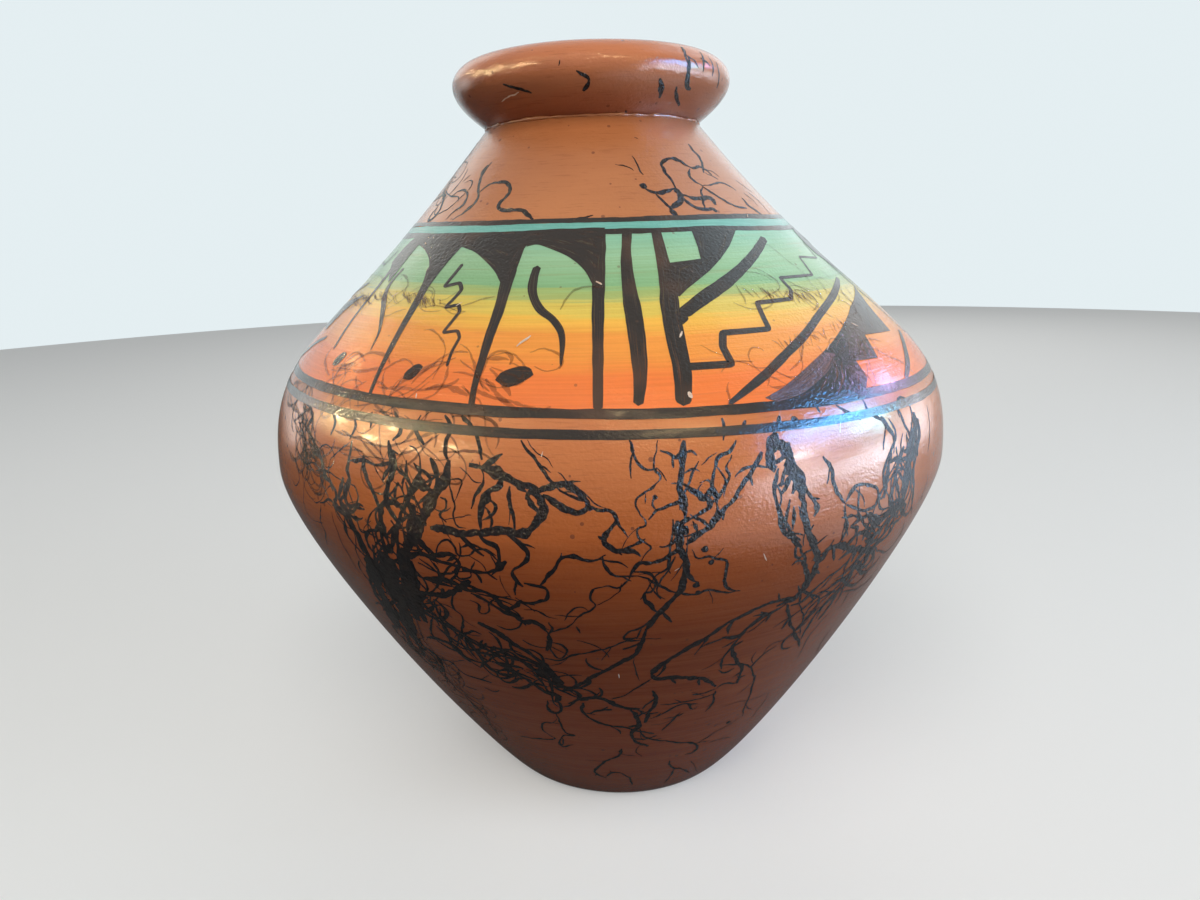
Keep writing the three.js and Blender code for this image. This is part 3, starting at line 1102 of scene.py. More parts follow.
hairLeft = [
    (0.32, [(291, 452), (297, 465), (299, 478), (296, 486), (292, 478)]),
    (0.32, [(302, 452), (307, 468), (304, 488), (305, 507), (312, 519), (323, 523)]),
    (0.52, [(296, 440), (300, 455), (306, 464), (313, 463), (320, 470), (322, 482), (327, 494),
            (330, 503)]),
    (1.04, [(312, 452), (321, 458), (324, 472), (331, 484), (337, 494), (336, 506), (344, 516), (349, 526),
           (357, 536), (362, 548), (368, 556)]),
    (0.47, [(352, 440), (340, 448), (331, 461), (329, 476), (334, 488), (337, 498)]),
    (0.94, [(352, 440), (350, 456), (347, 470), (350, 480), (346, 492), (341, 502), (346, 512)]),
    (0.62, [(349, 482), (355, 488), (358, 499), (355, 508), (347, 513), (339, 509), (332, 505)]),
    (0.62, [(320, 503), (331, 501), (335, 511), (341, 519), (348, 528)]),
    (0.47, [(321, 505), (320, 519), (325, 532), (328, 546)]),
    (0.32, [(332, 512), (336, 526), (341, 541), (348, 553), (355, 566), (361, 574)]),
    (0.57, [(354, 513), (358, 523), (361, 531), (368, 534)]),
    (0.78, [(350, 460), (364, 461), (378, 464), (392, 465), (400, 472), (407, 481)]),
    (1.2, [(363, 455), (365, 472), (370, 488), (376, 500), (381, 512), (380, 528), (383, 542), (388, 556)]),
    (1.25, [(389, 440), (391, 455), (391, 470), (388, 486), (386, 500), (392, 513), (398, 523)]),
    (0.73, [(400, 466), (405, 478), (404, 490), (409, 502), (413, 514), (420, 524)]),
    (0.83, [(406, 460), (406, 475), (411, 488), (407, 500), (410, 514)]),
    (0.62, [(387, 488), (392, 500), (398, 508), (404, 500), (401, 488), (393, 482)]),
    (1.66, [(448, 462), (447, 476), (443, 487), (436, 494), (431, 504), (424, 516), (420, 530), (412, 544),
            (402, 556)]),
    (1.3, [(430, 458), (436, 472), (438, 486), (432, 500)]),
    (0.83, [(414, 462), (420, 472), (414, 484), (409, 494), (415, 500)]),
    (0.73, [(418, 470), (425, 474), (430, 483), (423, 490), (417, 484), (420, 476)]),
    (0.52, [(449, 480), (450, 492), (454, 503), (454, 515), (459, 526), (466, 528)]),
    (0.36, [(450, 481), (461, 481), (460, 490), (454, 502)]),
    (0.62, [(440, 497), (447, 501), (446, 509), (440, 515), (446, 523)]),
    (0.42, [(432, 507), (441, 512), (451, 508)]),
    (0.36, [(444, 520), (453, 519), (463, 517), (471, 515)]),
    (0.52, [(479, 462), (482, 474), (480, 487), (474, 495), (473, 504), (471, 509)]),
    (0.42, [(459, 468), (466, 476), (473, 482), (481, 483)]),
    (1.72, [(469, 464), (484, 468), (500, 474), (514, 480), (528, 487), (540, 493)]),
    (1.14, [(504, 478), (499, 487), (490, 492), (484, 503), (481, 516), (480, 530)]),
    (0.73, [(489, 500), (496, 508), (492, 516), (482, 520)]),
    (1.04, [(509, 486), (508, 500), (512, 516), (514, 532)]),
    (1.87, [(430, 528), (447, 531), (464, 533), (482, 532), (500, 531), (514, 534), (527, 531), (538, 522),
           (542, 510), (539, 498), (530, 492)]),
]
hairLeftThick = [
    (1.3, [(310, 436), (316, 447), (321, 457), (322, 468)]),
    (1.5, [(343, 477), (340, 489), (338, 500)]),
    (1.5, [(350, 478), (346, 488), (345, 498), (350, 510)]),
    (1.5, [(341, 500), (348, 514), (353, 526), (359, 538), (365, 549), (372, 562)]),
    (1.0, [(333, 500), (340, 508), (349, 512), (356, 508)]),
    (1.5, [(391, 446), (393, 460), (390, 474), (386, 486), (388, 500)]),
    (1.0, [(398, 482), (396, 498), (402, 510), (412, 520)]),
    (1.0, [(405, 482), (408, 498), (401, 514), (396, 528), (397, 544)]),
    (0.9, [(386, 505), (395, 518), (403, 530), (406, 544)]),
    (1.0, [(425, 480), (416, 488), (409, 498), (411, 510), (417, 520)]),
    (2.6, [(440, 478), (437, 490), (430, 500), (425, 512), (421, 526)]),
    (2.2, [(414, 506), (412, 520), (410, 534), (404, 548)]),
    (3.2, [(420, 515), (417, 530), (412, 545)]),
    (1.3, [(449, 460), (447, 476), (443, 490)]),
    (0.9, [(420, 476), (427, 487), (434, 494)]),
    (1.3, [(404, 556), (418, 553), (432, 555), (447, 553), (457, 556)]),
    (1.1, [(381, 530), (384, 543), (390, 552)]),
    (0.9, [(397, 532), (392, 544), (388, 552)]),
    (0.9, [(412, 572), (424, 578), (437, 582), (452, 586)]),
    (0.8, [(418, 592), (426, 597), (433, 605), (429, 611), (421, 606)]),
    (0.8, [(424, 612), (434, 606), (444, 606)]),
]
sootMasses = [  # broad marks where a whole tuft burnt on
    (3.4, [(368, 556), (376, 578), (386, 602), (396, 626)]),
    (4.6, [(384, 552), (392, 578), (402, 604), (412, 632)]),
    (4.6, [(404, 548), (407, 572), (411, 596), (418, 620)]),
    (3.0, [(396, 610), (408, 628), (420, 642)]),
    (2.4, [(410, 560), (416, 580), (420, 600), (426, 622)]),
]
hairMiddleLeft = [
    (1.9, [(417, 593), (432, 594), (447, 594), (460, 588), (470, 580)]),
    (1.6, [(478, 622), (490, 628), (503, 637), (520, 647), (537, 657), (553, 673), (562, 688)]),
    (1.3, [(427, 637), (442, 640), (457, 647), (468, 658), (480, 667)]),
    (1.6, [(515, 652), (530, 660), (545, 668), (556, 680)]),
    (2.4, [(522, 660), (535, 669), (548, 680)]),
    (0.9, [(480, 667), (492, 657), (502, 652), (512, 658), (508, 668), (498, 674), (507, 682), (520, 678),
           (532, 680)]),
    (0.8, [(484, 640), (480, 652), (488, 660), (498, 662)]),
    (0.8, [(457, 647), (462, 637), (472, 630), (482, 634)]),
    (0.7, [(440, 620), (452, 626), (463, 634), (474, 640), (486, 648)]),
    (0.7, [(430, 650), (440, 658), (452, 662), (463, 672), (478, 678), (492, 682)]),
    (0.5, [(427, 655), (437, 668), (450, 680), (462, 690), (474, 702)]),
    (0.5, [(440, 668), (452, 676), (466, 686), (478, 690)]),
    (0.5, [(465, 695), (474, 706), (484, 718)]),
    (1.25, [(502, 532), (514, 539), (523, 547), (528, 557), (521, 566), (513, 571), (517, 580),
            (524, 586)]),
    (0.99, [(524, 584), (536, 586), (546, 590), (547, 598), (538, 602), (524, 602), (515, 598)]),
    (0.94, [(540, 586), (545, 577), (553, 569), (560, 559), (571, 555), (583, 559), (594, 560),
            (606, 555)]),
    (1.04, [(478, 534), (487, 542), (496, 546), (499, 556), (497, 567), (492, 575)]),
    (0.68, [(440, 545), (448, 540), (455, 547), (459, 555), (468, 554), (476, 549), (486, 549),
            (496, 556)]),
    (0.62, [(460, 547), (470, 545), (480, 548), (490, 552), (500, 562)]),
    (0.78, [(446, 560), (456, 558), (460, 566), (455, 574), (461, 580), (470, 578), (470, 570),
            (462, 568)]),
    (1.46, [(425, 578), (440, 580), (455, 584), (470, 590), (482, 590), (492, 594), (500, 602), (508, 610),
            (520, 616)]),
    (0.83, [(418, 562), (428, 568), (440, 573), (450, 572), (457, 566)]),
    (1.09, [(462, 570), (474, 572), (486, 572), (497, 568), (505, 560)]),
    (0.57, [(440, 603), (452, 608), (462, 616), (463, 628), (456, 638)]),
    (0.52, [(500, 597), (490, 604), (488, 612), (480, 612), (478, 604), (470, 600)]),
    (1.25, [(498, 600), (506, 608), (515, 606), (522, 600)]),
    (1.2, [(510, 612), (522, 620), (534, 621), (545, 628), (549, 640), (545, 650)]),
    (0.62, [(546, 640), (553, 652), (560, 658), (567, 651), (562, 645), (552, 642)]),
    (0.36, [(500, 575), (504, 588), (512, 598)]),
    (0.42, [(524, 609), (536, 611), (546, 616), (558, 618)]),
    (0.83, [(548, 634), (553, 629), (549, 622)]),
]
hairMiddle = [
    (1.56, [(538, 493), (549, 487), (561, 484), (572, 487), (581, 494), (587, 505), (579, 511), (564, 509),
           (552, 502), (543, 494)]),
    (1.72, [(528, 496), (533, 506), (541, 512)]),
    (1.2, [(527, 500), (530, 492), (540, 490)]),
    (0.78, [(521, 440), (530, 452), (541, 467), (552, 482), (563, 492), (576, 498), (586, 503)]),
    (0.32, [(527, 440), (535, 452), (548, 458), (554, 467)]),
    (0.36, [(558, 472), (570, 483), (585, 494), (597, 504), (606, 508)]),
    (1.2, [(587, 506), (600, 510), (611, 511), (617, 519), (614, 527), (608, 533), (605, 541), (612, 548),
           (622, 550), (634, 550), (641, 556)]),
    (0.94, [(598, 536), (606, 539)]),
    (0.83, [(629, 440), (635, 452), (640, 464), (648, 469), (657, 468)]),
    (0.57, [(657, 440), (655, 455), (656, 467), (661, 476), (655, 485), (645, 492), (637, 500), (640, 511),
           (646, 519), (646, 526), (637, 528), (638, 537), (645, 543), (651, 548), (645, 553), (640, 560)]),
    (1.46, [(684, 440), (683, 456), (682, 472), (680, 488), (682, 503), (684, 518)]),
    (1.72, [(690, 518), (680, 524), (679, 536), (682, 548), (686, 562), (685, 576), (678, 592), (667, 606),
           (655, 618), (646, 630)]),
    (1.46, [(646, 630), (641, 644), (632, 656), (616, 665), (597, 674), (580, 684), (563, 690)]),
    (0.94, [(660, 450), (669, 454), (677, 459), (684, 455)]),
    (0.47, [(684, 452), (691, 450), (697, 455)]),
    (1.35, [(682, 484), (691, 491), (700, 497), (708, 503), (701, 512), (690, 519)]),
    (1.35, [(676, 520), (675, 532), (678, 545), (670, 553), (662, 559), (650, 563), (640, 563), (633, 571),
            (629, 578)]),
    (0.78, [(684, 501), (671, 504), (661, 509), (655, 512), (649, 520)]),
    (0.78, [(655, 510), (651, 505), (653, 497)]),
    (0.94, [(736, 440), (729, 452), (718, 459), (714, 471), (711, 484), (716, 496), (717, 510), (710, 523),
           (700, 534), (688, 541)]),
    (0.78, [(730, 454), (727, 466), (731, 475), (723, 488), (715, 500), (707, 505)]),
    (0.62, [(700, 484), (708, 480), (712, 489), (707, 498), (700, 499), (698, 490), (701, 483)]),
    (1.25, [(762, 452), (753, 467), (743, 484), (733, 498), (721, 511), (709, 526), (697, 537),
            (686, 545)]),
    (0.68, [(692, 521), (697, 527), (698, 536)]),
    (0.68, [(630, 575), (645, 578), (656, 582), (666, 588), (680, 593), (694, 594), (706, 590), (724, 592),
            (740, 591)]),
    (1.04, [(634, 573), (648, 574), (655, 583), (650, 591), (644, 592), (644, 600), (652, 606),
            (657, 612)]),
    (0.62, [(675, 556), (668, 566), (657, 575), (652, 582)]),
    (0.78, [(603, 556), (606, 566), (613, 575), (625, 577), (634, 577)]),
    (0.57, [(630, 577), (619, 586), (606, 586), (593, 590), (591, 598), (596, 606), (589, 611), (578, 618),
           (566, 627), (553, 632)]),
    (0.36, [(620, 583), (618, 592), (606, 600), (597, 605)]),
    (0.42, [(564, 620), (571, 611), (580, 606), (589, 611)]),
    (0.68, [(692, 549), (699, 557), (708, 556), (716, 558), (727, 560), (725, 573), (727, 585),
            (736, 590)]),
    (0.52, [(577, 626), (580, 633)]),
    (0.83, [(651, 621), (640, 627), (629, 632), (625, 638), (638, 636)]),
    (0.68, [(640, 640), (621, 643), (605, 648), (587, 653), (570, 655), (560, 659), (545, 657)]),
    (0.42, [(577, 640), (590, 643), (600, 648), (610, 657)]),
    (0.36, [(633, 657), (634, 668), (640, 680)]),
    (0.47, [(671, 485), (681, 485)]),
    (0.42, [(684, 473), (692, 468), (700, 470)]),
    (0.32, [(701, 465), (708, 457), (716, 452)]),
]
hairRight = [
    (2.4, [(775, 432), (772, 446), (770, 460), (776, 468)]),
    (3.0, [(784, 462), (792, 470), (799, 480), (803, 494)]),
    (2.0, [(770, 438), (782, 446), (788, 456), (792, 468)]),
    (2.6, [(913, 412), (914, 430), (910, 446), (907, 462), (905, 478), (903, 494), (898, 508)]),
    (1.2, [(888, 462), (900, 459), (912, 457)]),
    (1.2, [(880, 416), (887, 428), (894, 440), (890, 452), (887, 466), (885, 482), (884, 498)]),
    (1.0, [(893, 470), (896, 484), (899, 498), (896, 512)]),
    (1.0, [(888, 508), (896, 500), (904, 506), (899, 518), (890, 524)]),
    (1.3, [(845, 546), (852, 538), (862, 532), (872, 536), (880, 528), (888, 520), (897, 512)]),
    (1.3, [(838, 560), (848, 552), (858, 548), (868, 552), (876, 544), (886, 536), (893, 524)]),
    (1.2, [(850, 526), (860, 520), (870, 514), (880, 520), (888, 510), (896, 502)]),
    (1.1, [(855, 560), (864, 566), (872, 558), (868, 548), (858, 552)]),
    (1.1, [(843, 572), (852, 566), (862, 572), (872, 566), (880, 556)]),
    (1.0, [(830, 585), (842, 580), (852, 586), (862, 578), (868, 568)]),
    (0.9, [(862, 540), (866, 530), (874, 526), (878, 534), (872, 542), (864, 540)]),
    (0.9, [(848, 534), (844, 524), (850, 516), (858, 522)]),
    (1.09, [(778, 468), (774, 484), (775, 500), (780, 515), (784, 530), (791, 536), (800, 541)]),
    (1.25, [(768, 440), (770, 455), (768, 465), (774, 472)]),
    (1.61, [(786, 452), (792, 464), (800, 476), (801, 490), (803, 506), (806, 522), (810, 536),
            (814, 550)]),
    (1.14, [(792, 470), (787, 482), (782, 494)]),
    (0.94, [(803, 486), (811, 497), (817, 508), (813, 516)]),
    (0.78, [(798, 506), (802, 520), (808, 530), (813, 524)]),
    (0.78, [(799, 541), (795, 550), (798, 558), (806, 552), (813, 549)]),
    (1.35, [(812, 545), (816, 560), (812, 575), (806, 588), (796, 597), (784, 602)]),
    (1.04, [(802, 560), (806, 567), (806, 578), (800, 590), (790, 599), (776, 606)]),
    (0.73, [(791, 565), (797, 560), (805, 561)]),
    (0.94, [(822, 456), (830, 470), (834, 485), (840, 497), (846, 503)]),
    (0.78, [(845, 502), (850, 492), (857, 485), (867, 484), (875, 488), (877, 498), (874, 506), (866, 510),
           (855, 509), (846, 504)]),
    (0.57, [(859, 485), (858, 498), (858, 512), (857, 522)]),
    (0.78, [(844, 505), (845, 516), (848, 526), (843, 536), (838, 544)]),
    (0.62, [(858, 512), (862, 522), (869, 530), (874, 536)]),
    (0.62, [(864, 510), (867, 519), (871, 526), (868, 534)]),
    (0.73, [(875, 506), (872, 517), (878, 526)]),
    (0.78, [(850, 526), (857, 527), (855, 536), (848, 545), (842, 553)]),
    (1.46, [(814, 552), (820, 559), (826, 550), (836, 545), (846, 546), (853, 553), (850, 562)]),
    (1.04, [(898, 410), (904, 425), (911, 440), (914, 456), (912, 475), (912, 494), (909, 511), (903, 515),
           (901, 505), (905, 490)]),
    (0.78, [(888, 418), (895, 434), (890, 450), (885, 465), (883, 480), (882, 496), (877, 498)]),
    (1.87, [(917, 418), (918, 435), (914, 450), (909, 462), (907, 478), (904, 492), (899, 502)]),
    (1.25, [(899, 502), (893, 512), (885, 522), (877, 532), (868, 543), (860, 553), (854, 565), (848, 578),
            (842, 588)]),
    (0.99, [(903, 446), (899, 458), (896, 471), (893, 486), (889, 500), (891, 514), (885, 528), (876, 543),
           (866, 558), (858, 572)]),
    (0.78, [(896, 470), (902, 482), (898, 496), (893, 508), (897, 518)]),
    (0.83, [(842, 588), (834, 596), (824, 604), (815, 615), (807, 627), (800, 640)]),
    (0.68, [(842, 592), (852, 590), (863, 585), (872, 577)]),
    (0.78, [(836, 583), (825, 590), (815, 598), (804, 607), (791, 617), (780, 629)]),
    (0.94, [(848, 560), (838, 570), (826, 578), (815, 588), (803, 600), (790, 606)]),
    (1.2, [(796, 597), (780, 601), (762, 606), (745, 614), (728, 623), (712, 633), (694, 645), (676, 655),
           (662, 664), (651, 674)]),
    (1.25, [(651, 674), (655, 678), (672, 677), (690, 677), (706, 679), (716, 686)]),
    (1.04, [(786, 604), (772, 612), (759, 619), (748, 627), (738, 635), (722, 637)]),
    (0.94, [(760, 612), (768, 616), (764, 622)]),
    (0.99, [(741, 634), (733, 643), (732, 652), (737, 660), (742, 667), (739, 676), (737, 683)]),
    (0.88, [(787, 604), (789, 618), (792, 629), (796, 636), (800, 646)]),
    (0.47, [(801, 604), (802, 620), (799, 636)]),
    (0.47, [(829, 613), (820, 622), (811, 633), (804, 645), (798, 658)]),
    (0.32, [(926, 405), (929, 430), (927, 452)]),
    (0.32, [(927, 474), (924, 488), (920, 501)]),
    (0.36, [(919, 510), (916, 521)]),
    (0.52, [(904, 522), (899, 536), (890, 548), (880, 552), (873, 546)]),
    (0.42, [(890, 550), (886, 564), (878, 576), (868, 588)]),
    (0.32, [(862, 598), (851, 611), (841, 625), (830, 640)]),
    (0.32, [(815, 655), (823, 640), (832, 628)]),
    (0.36, [(773, 628), (785, 620), (797, 612)]),
    (0.32, [(762, 655), (770, 645), (782, 640), (793, 635)]),
]
hairFoot = [
    (0.68, [(742, 640), (733, 646), (723, 658), (720, 669)]),
    (0.62, [(720, 665), (733, 664), (746, 665), (753, 672), (752, 688), (746, 703), (741, 716)]),
    (0.57, [(750, 668), (757, 660), (766, 652), (776, 645)]),
    (0.73, [(716, 688), (724, 684), (734, 683), (740, 677), (745, 675)]),
    (0.68, [(718, 670), (726, 672), (734, 668)]),
    (0.62, [(716, 690), (712, 702), (706, 711)]),
    (0.73, [(716, 688), (705, 692), (692, 694)]),
    (0.57, [(716, 692), (704, 697), (690, 700), (675, 703), (660, 704)]),
    (0.68, [(650, 718), (664, 712), (676, 706), (688, 703), (693, 708), (697, 706)]),
    (0.52, [(664, 718), (676, 716), (684, 712)]),
    (0.62, [(680, 712), (672, 720), (662, 730)]),
    (1.2, [(652, 690), (656, 696), (654, 703), (649, 712), (645, 722)]),
    (0.62, [(638, 709), (648, 713), (658, 712)]),
    (0.47, [(651, 678), (636, 688), (622, 696), (612, 699)]),
    (1.09, [(563, 690), (575, 690), (580, 697), (568, 703)]),
    (1.46, [(580, 700), (592, 697), (606, 699), (617, 705), (628, 708), (640, 708)]),
    (0.94, [(582, 702), (584, 712), (594, 720), (607, 724), (625, 727), (640, 730), (654, 733)]),
    (1.35, [(590, 712), (600, 710), (612, 709)]),
    (1.2, [(628, 708), (637, 716), (639, 726), (632, 733), (636, 741), (647, 746)]),
    (0.68, [(638, 728), (646, 737), (660, 740), (678, 742), (690, 742), (697, 746), (692, 752),
            (684, 754)]),
    (0.62, [(696, 743), (708, 736), (720, 729), (732, 723)]),
    (0.42, [(702, 745), (716, 739), (730, 737)]),
    (0.62, [(556, 713), (560, 722), (566, 732), (575, 735), (564, 735), (562, 745), (574, 744)]),
    (0.52, [(559, 723), (546, 722), (543, 728), (550, 735), (555, 738), (540, 738), (519, 736)]),
    (0.78, [(548, 700), (549, 709), (556, 713), (562, 707), (558, 701), (550, 700)]),
    (1.09, [(545, 690), (552, 692), (558, 696), (556, 702)]),
    (0.94, [(512, 686), (522, 687), (535, 683), (548, 686)]),
    (0.73, [(621, 748), (618, 755), (606, 761), (596, 769), (599, 775), (606, 778)]),
    (0.62, [(606, 776), (617, 772), (628, 776), (632, 784)]),
    (0.62, [(669, 760), (673, 768), (681, 768), (688, 772)]),
    (0.52, [(675, 768), (670, 775), (665, 782)]),
    (0.32, [(690, 760), (697, 771)]),
    (0.36, [(640, 745), (636, 751), (641, 756)]),
    (0.42, [(470, 700), (480, 711), (490, 724), (498, 736)]),
    (0.32, [(769, 692), (761, 705), (752, 717), (746, 723)]),
    (0.32, [(769, 692), (756, 698), (738, 702), (723, 706)]),
    (0.42, [(485, 687), (495, 691), (500, 690)]),
]
hairNeck = [
    (0.9, [(492, 162), (485, 170), (481, 177), (479, 187), (478, 197), (472, 206), (463, 213), (452, 219)]),
    (0.95, [(480, 192), (488, 186), (497, 183), (507, 184), (510, 190), (506, 197), (500, 202), (499, 208),
            (509, 210), (522, 211), (534, 219)]),
    (0.8, [(450, 197), (462, 190), (467, 195), (463, 205), (452, 213), (445, 220)]),
    (1.3, [(488, 165), (484, 170), (481, 176)]),
    (0.4, [(470, 175), (462, 182)]),
    (0.9, [(643, 186), (648, 191), (656, 192), (664, 191), (674, 188)]),
    (1.0, [(676, 190), (671, 181), (664, 171), (661, 163), (668, 160), (678, 161), (688, 166)]),
    (0.8, [(688, 166), (693, 169), (700, 168), (706, 171), (712, 175)]),
    (0.8, [(690, 169), (689, 175), (695, 181), (703, 186)]),
    (0.9, [(688, 144), (693, 150), (699, 157), (702, 167), (704, 173)]),
    (0.5, [(704, 172), (711, 176), (718, 180)]),
    (0.4, [(706, 169), (713, 172), (719, 177)]),
    (0.6, [(703, 187), (709, 184), (719, 183), (728, 185), (736, 190)]),
    (0.8, [(703, 187), (713, 193), (723, 200), (735, 206), (747, 209)]),
    (1.3, [(742, 198), (749, 206), (756, 210), (763, 215)]),
    (0.5, [(744, 193), (752, 199), (758, 206)]),
    (0.5, [(736, 180), (744, 186), (752, 192)]),
    (0.4, [(748, 192), (758, 200), (765, 208), (772, 216)]),
    (1.9, [(674, 188), (679, 194), (680, 201), (675, 206), (670, 209)]),
    (1.6, [(670, 208), (673, 213), (677, 217)]),
    (1.5, [(680, 197), (687, 202), (694, 207), (703, 209), (712, 208), (717, 212)]),
    (1.4, [(682, 196), (692, 197), (702, 198), (711, 199), (716, 205)]),
    (0.7, [(702, 198), (704, 204), (706, 209)]),
    (0.8, [(703, 198), (702, 192), (703, 187)]),
    (0.6, [(655, 193), (660, 198), (666, 204), (671, 210)]),
    (0.36, [(615, 164), (625, 166), (633, 171)]),
    (0.42, [(632, 156), (637, 165), (643, 175)]),
    (0.52, [(634, 137), (638, 139)]),
    (0.52, [(575, 219), (585, 217), (593, 215)]),
]
hairBetweenLines = [(1.0, course) for course in (
    [(305, 400), (312, 415), (306, 430)], [(330, 405), (335, 420), (330, 435)],
    [(350, 410), (356, 425), (350, 440)], [(372, 412), (370, 428)], [(395, 412), (400, 430), (392, 440)],
    [(420, 415), (416, 430), (424, 445)], [(445, 415), (450, 428), (446, 445), (448, 462)],
    [(462, 415), (470, 425), (478, 440), (482, 460)], [(720, 418), (723, 428), (722, 440)],
    [(745, 420), (738, 432)], [(760, 425), (775, 428)], [(778, 415), (775, 425)], [(790, 418), (800, 424)],
    [(815, 405), (820, 412)], [(835, 405), (845, 412), (860, 420)], [(860, 398), (870, 412), (880, 420)])]
hairOnRim = [
    (0.62, [(503, 84), (515, 87), (532, 93)]),
    (0.78, [(576, 71), (585, 76), (588, 80), (585, 87), (583, 91)]),
    (1.04, [(660, 78), (661, 88), (660, 98)]),
    (0.68, [(677, 86), (677, 94), (680, 105)]),
    (1.1, [(688, 56), (689, 70), (688, 84), (691, 89)]),
    (0.8, [(716, 62), (719, 74), (717, 88)]),
    (0.6, [(680, 47), (686, 55), (694, 60), (698, 68)]),
    (0.5, [(700, 52), (704, 62), (703, 72)]),
    (0.5, [(708, 56), (713, 66), (712, 76)]),
    (0.42, [(682, 50), (686, 58), (690, 65)]),
    (0.42, [(700, 58), (710, 65)]),
    (0.32, [(560, 60), (559, 66)]),
    (0.42, [(626, 110), (626, 114)]),
]
paintedOver = [(0.5, course) for course in (
    [(560, 310), (565, 300), (575, 290), (590, 287), (605, 288)],
    [(450, 312), (465, 305), (480, 300), (495, 297)],
    [(530, 352), (545, 348), (557, 355), (560, 365), (548, 370), (535, 366)],
    [(735, 285), (742, 295), (745, 305)])]
sootBlots = [((705, 549), 0.9), ((711, 562), 0.8), ((696, 585), 1.0), ((698, 592), 0.7), ((655, 497), 0.6),
             ((684, 530), 1.3), ((728, 722), 0.9), ((643, 186), 1.1), ((541, 503), 1.1), ((590, 508), 0.7)]


def hairNoise(travelled, seed, waves):
    return sum(noise.noise(Vector((travelled * rate, seed, layer))) * strength
               for rate, layer, strength in waves)


def strayed(run, seed, reach):  # a hair is never smooth: it kinks a little where it shrank in the heat
    return [point + acrossRun(run, i) * reach * hairNoise(i * hair["spacing"], seed, hair["kinks"])
            for i, point in enumerate(run)]


def hairWidths(count, width, seed):
    widths = []
    length = (count - 1) * hair["spacing"]
    fine = min(hair["fineEnd"], length * 0.35)
    for i in range(count):
        travelled = i * hair["spacing"]
        thinning = min(1, 0.45 + 0.55 * min(travelled, length - travelled) / fine)
        swell = hair["uneven"] * hairNoise(travelled, seed, hair["swells"])
        knot = max(hairNoise(travelled, seed, hair["knotting"]) - 0.2, 0) * hair["knots"]
        widths.append(width * hair["scorch"] * mm * thinning * (1 + swell + knot))
    return widths


def layHair(marks, width, run, dice, lift=lifts["hair"], reach=1.0):
    if len(run) < 3:
        return
    seed = dice.uniform(0, 500)
    run = strayed(run, seed, hair["wiggle"] * reach)
    layRibbon(marks, run, hairWidths(len(run), width, seed), lift + dice.uniform(0, 0.04) * mm, seed)


def wanderingRun(point, heading, length, spine, halfWidth, restless, dice, pull=hair["pull"]):
    run, bend = [], 0.0
    for _ in range(max(round(length / hair["spacing"]), 3)):
        if not hair["lowest"] < point.z < hair["highest"]:
            break
        point, outward = onPot(*potPlace(point))
        run.append(point)
        bend = bend * hair["steadiness"] + dice.gauss(0, hair["restlessness"]) * restless
        nearest = min(spine, key=lambda s: (s - point).length_squared)
        away = point - nearest
        if away.length > halfWidth:
            bend -= pull * math.copysign(1, outward.cross(heading).dot(away))
        heading = Matrix.Rotation(bend, 3, outward) @ heading
        heading = (heading - outward * heading.dot(outward)).normalized()
        point = point + heading * hair["spacing"]
    return run


def growTangle(marks, places, halfWidth, count, widths, lengths, dice, restless=1.0,
               lift=lifts["hair"], barbs=False, pull=hair["pull"]):  # widths and lengths in millimetres
    halfWidth = halfWidth * mm
    spine = throughPlaces(places, 3 * mm)
    for _ in range(count):
        i = dice.randrange(len(spine) - 1)
        start = spine[i] + Vector([dice.uniform(-1, 1) * halfWidth * hair["scatter"] for _ in range(3)])
        along = (spine[i + 1] - spine[i]).normalized() * dice.choice((-1, 1, 1))
        outward = onPot(*potPlace(start))[1]
        heading = Matrix.Rotation(dice.gauss(0, hair["fanning"]), 3, outward) @ along
        length = dice.uniform(*lengths) * mm
        run = wanderingRun(start, heading, length, spine, halfWidth, restless, dice, pull)
        width = widths[0] + (widths[1] - widths[0]) * dice.random() ** 2
        layHair(marks, width, run, dice, lift, 0.6)
        if barbs and width > hair["barbedTangle"]:
            layBarbs(marks, width, run, dice, lift)


def growTangles(marks, tangles, dice, lift=lifts["hair"]):
    for pixels, halfWidth, count, widths, lengths, restless in tangles:
        growTangle(marks, pixelPlaces(pixels), halfWidth, count, widths, lengths, dice, restless, lift)


def layBarbs(marks, width, run, dice, lift):  # short broken hairs that stand off a thick one
    steps = hair["barbEvery"] / hair["spacing"]
    at = dice.uniform(0.2, 1) * steps
    while at < len(run) - 2:
        root, ahead = run[int(at)], run[int(at) + 1]
        outward = onPot(*potPlace(root))[1]
        turn = dice.choice((-1, 1)) * dice.uniform(*hair["barbTurns"])
        heading = Matrix.Rotation(turn, 3, outward) @ (ahead - root).normalized()
        barb = wanderingRun(root, heading, dice.uniform(*hair["barbs"]), [root], 9 * mm, 0.9, dice)
        layHair(marks, width * dice.uniform(*hair["barbWidths"]), barb, dice, lift, 0.6)
        at += dice.uniform(*hair["barbGaps"]) * steps


def layDrawnHairs(marks, courses, dice, lift=lifts["hair"], barbs=False, scale=1.0):
    for width, pixels in courses:
        places = pixelPlaces(pixels)
        if len(places) < 2:
            continue
        run = throughPlaces(places, hair["spacing"])
        layHair(marks, width * scale, run, dice, lift)
        if barbs and width > hair["barbed"]:
            layBarbs(marks, width * scale, run, dice, lift)


# Tangles in the front: spine in pixels, half width, count, widths, lengths and restlessness

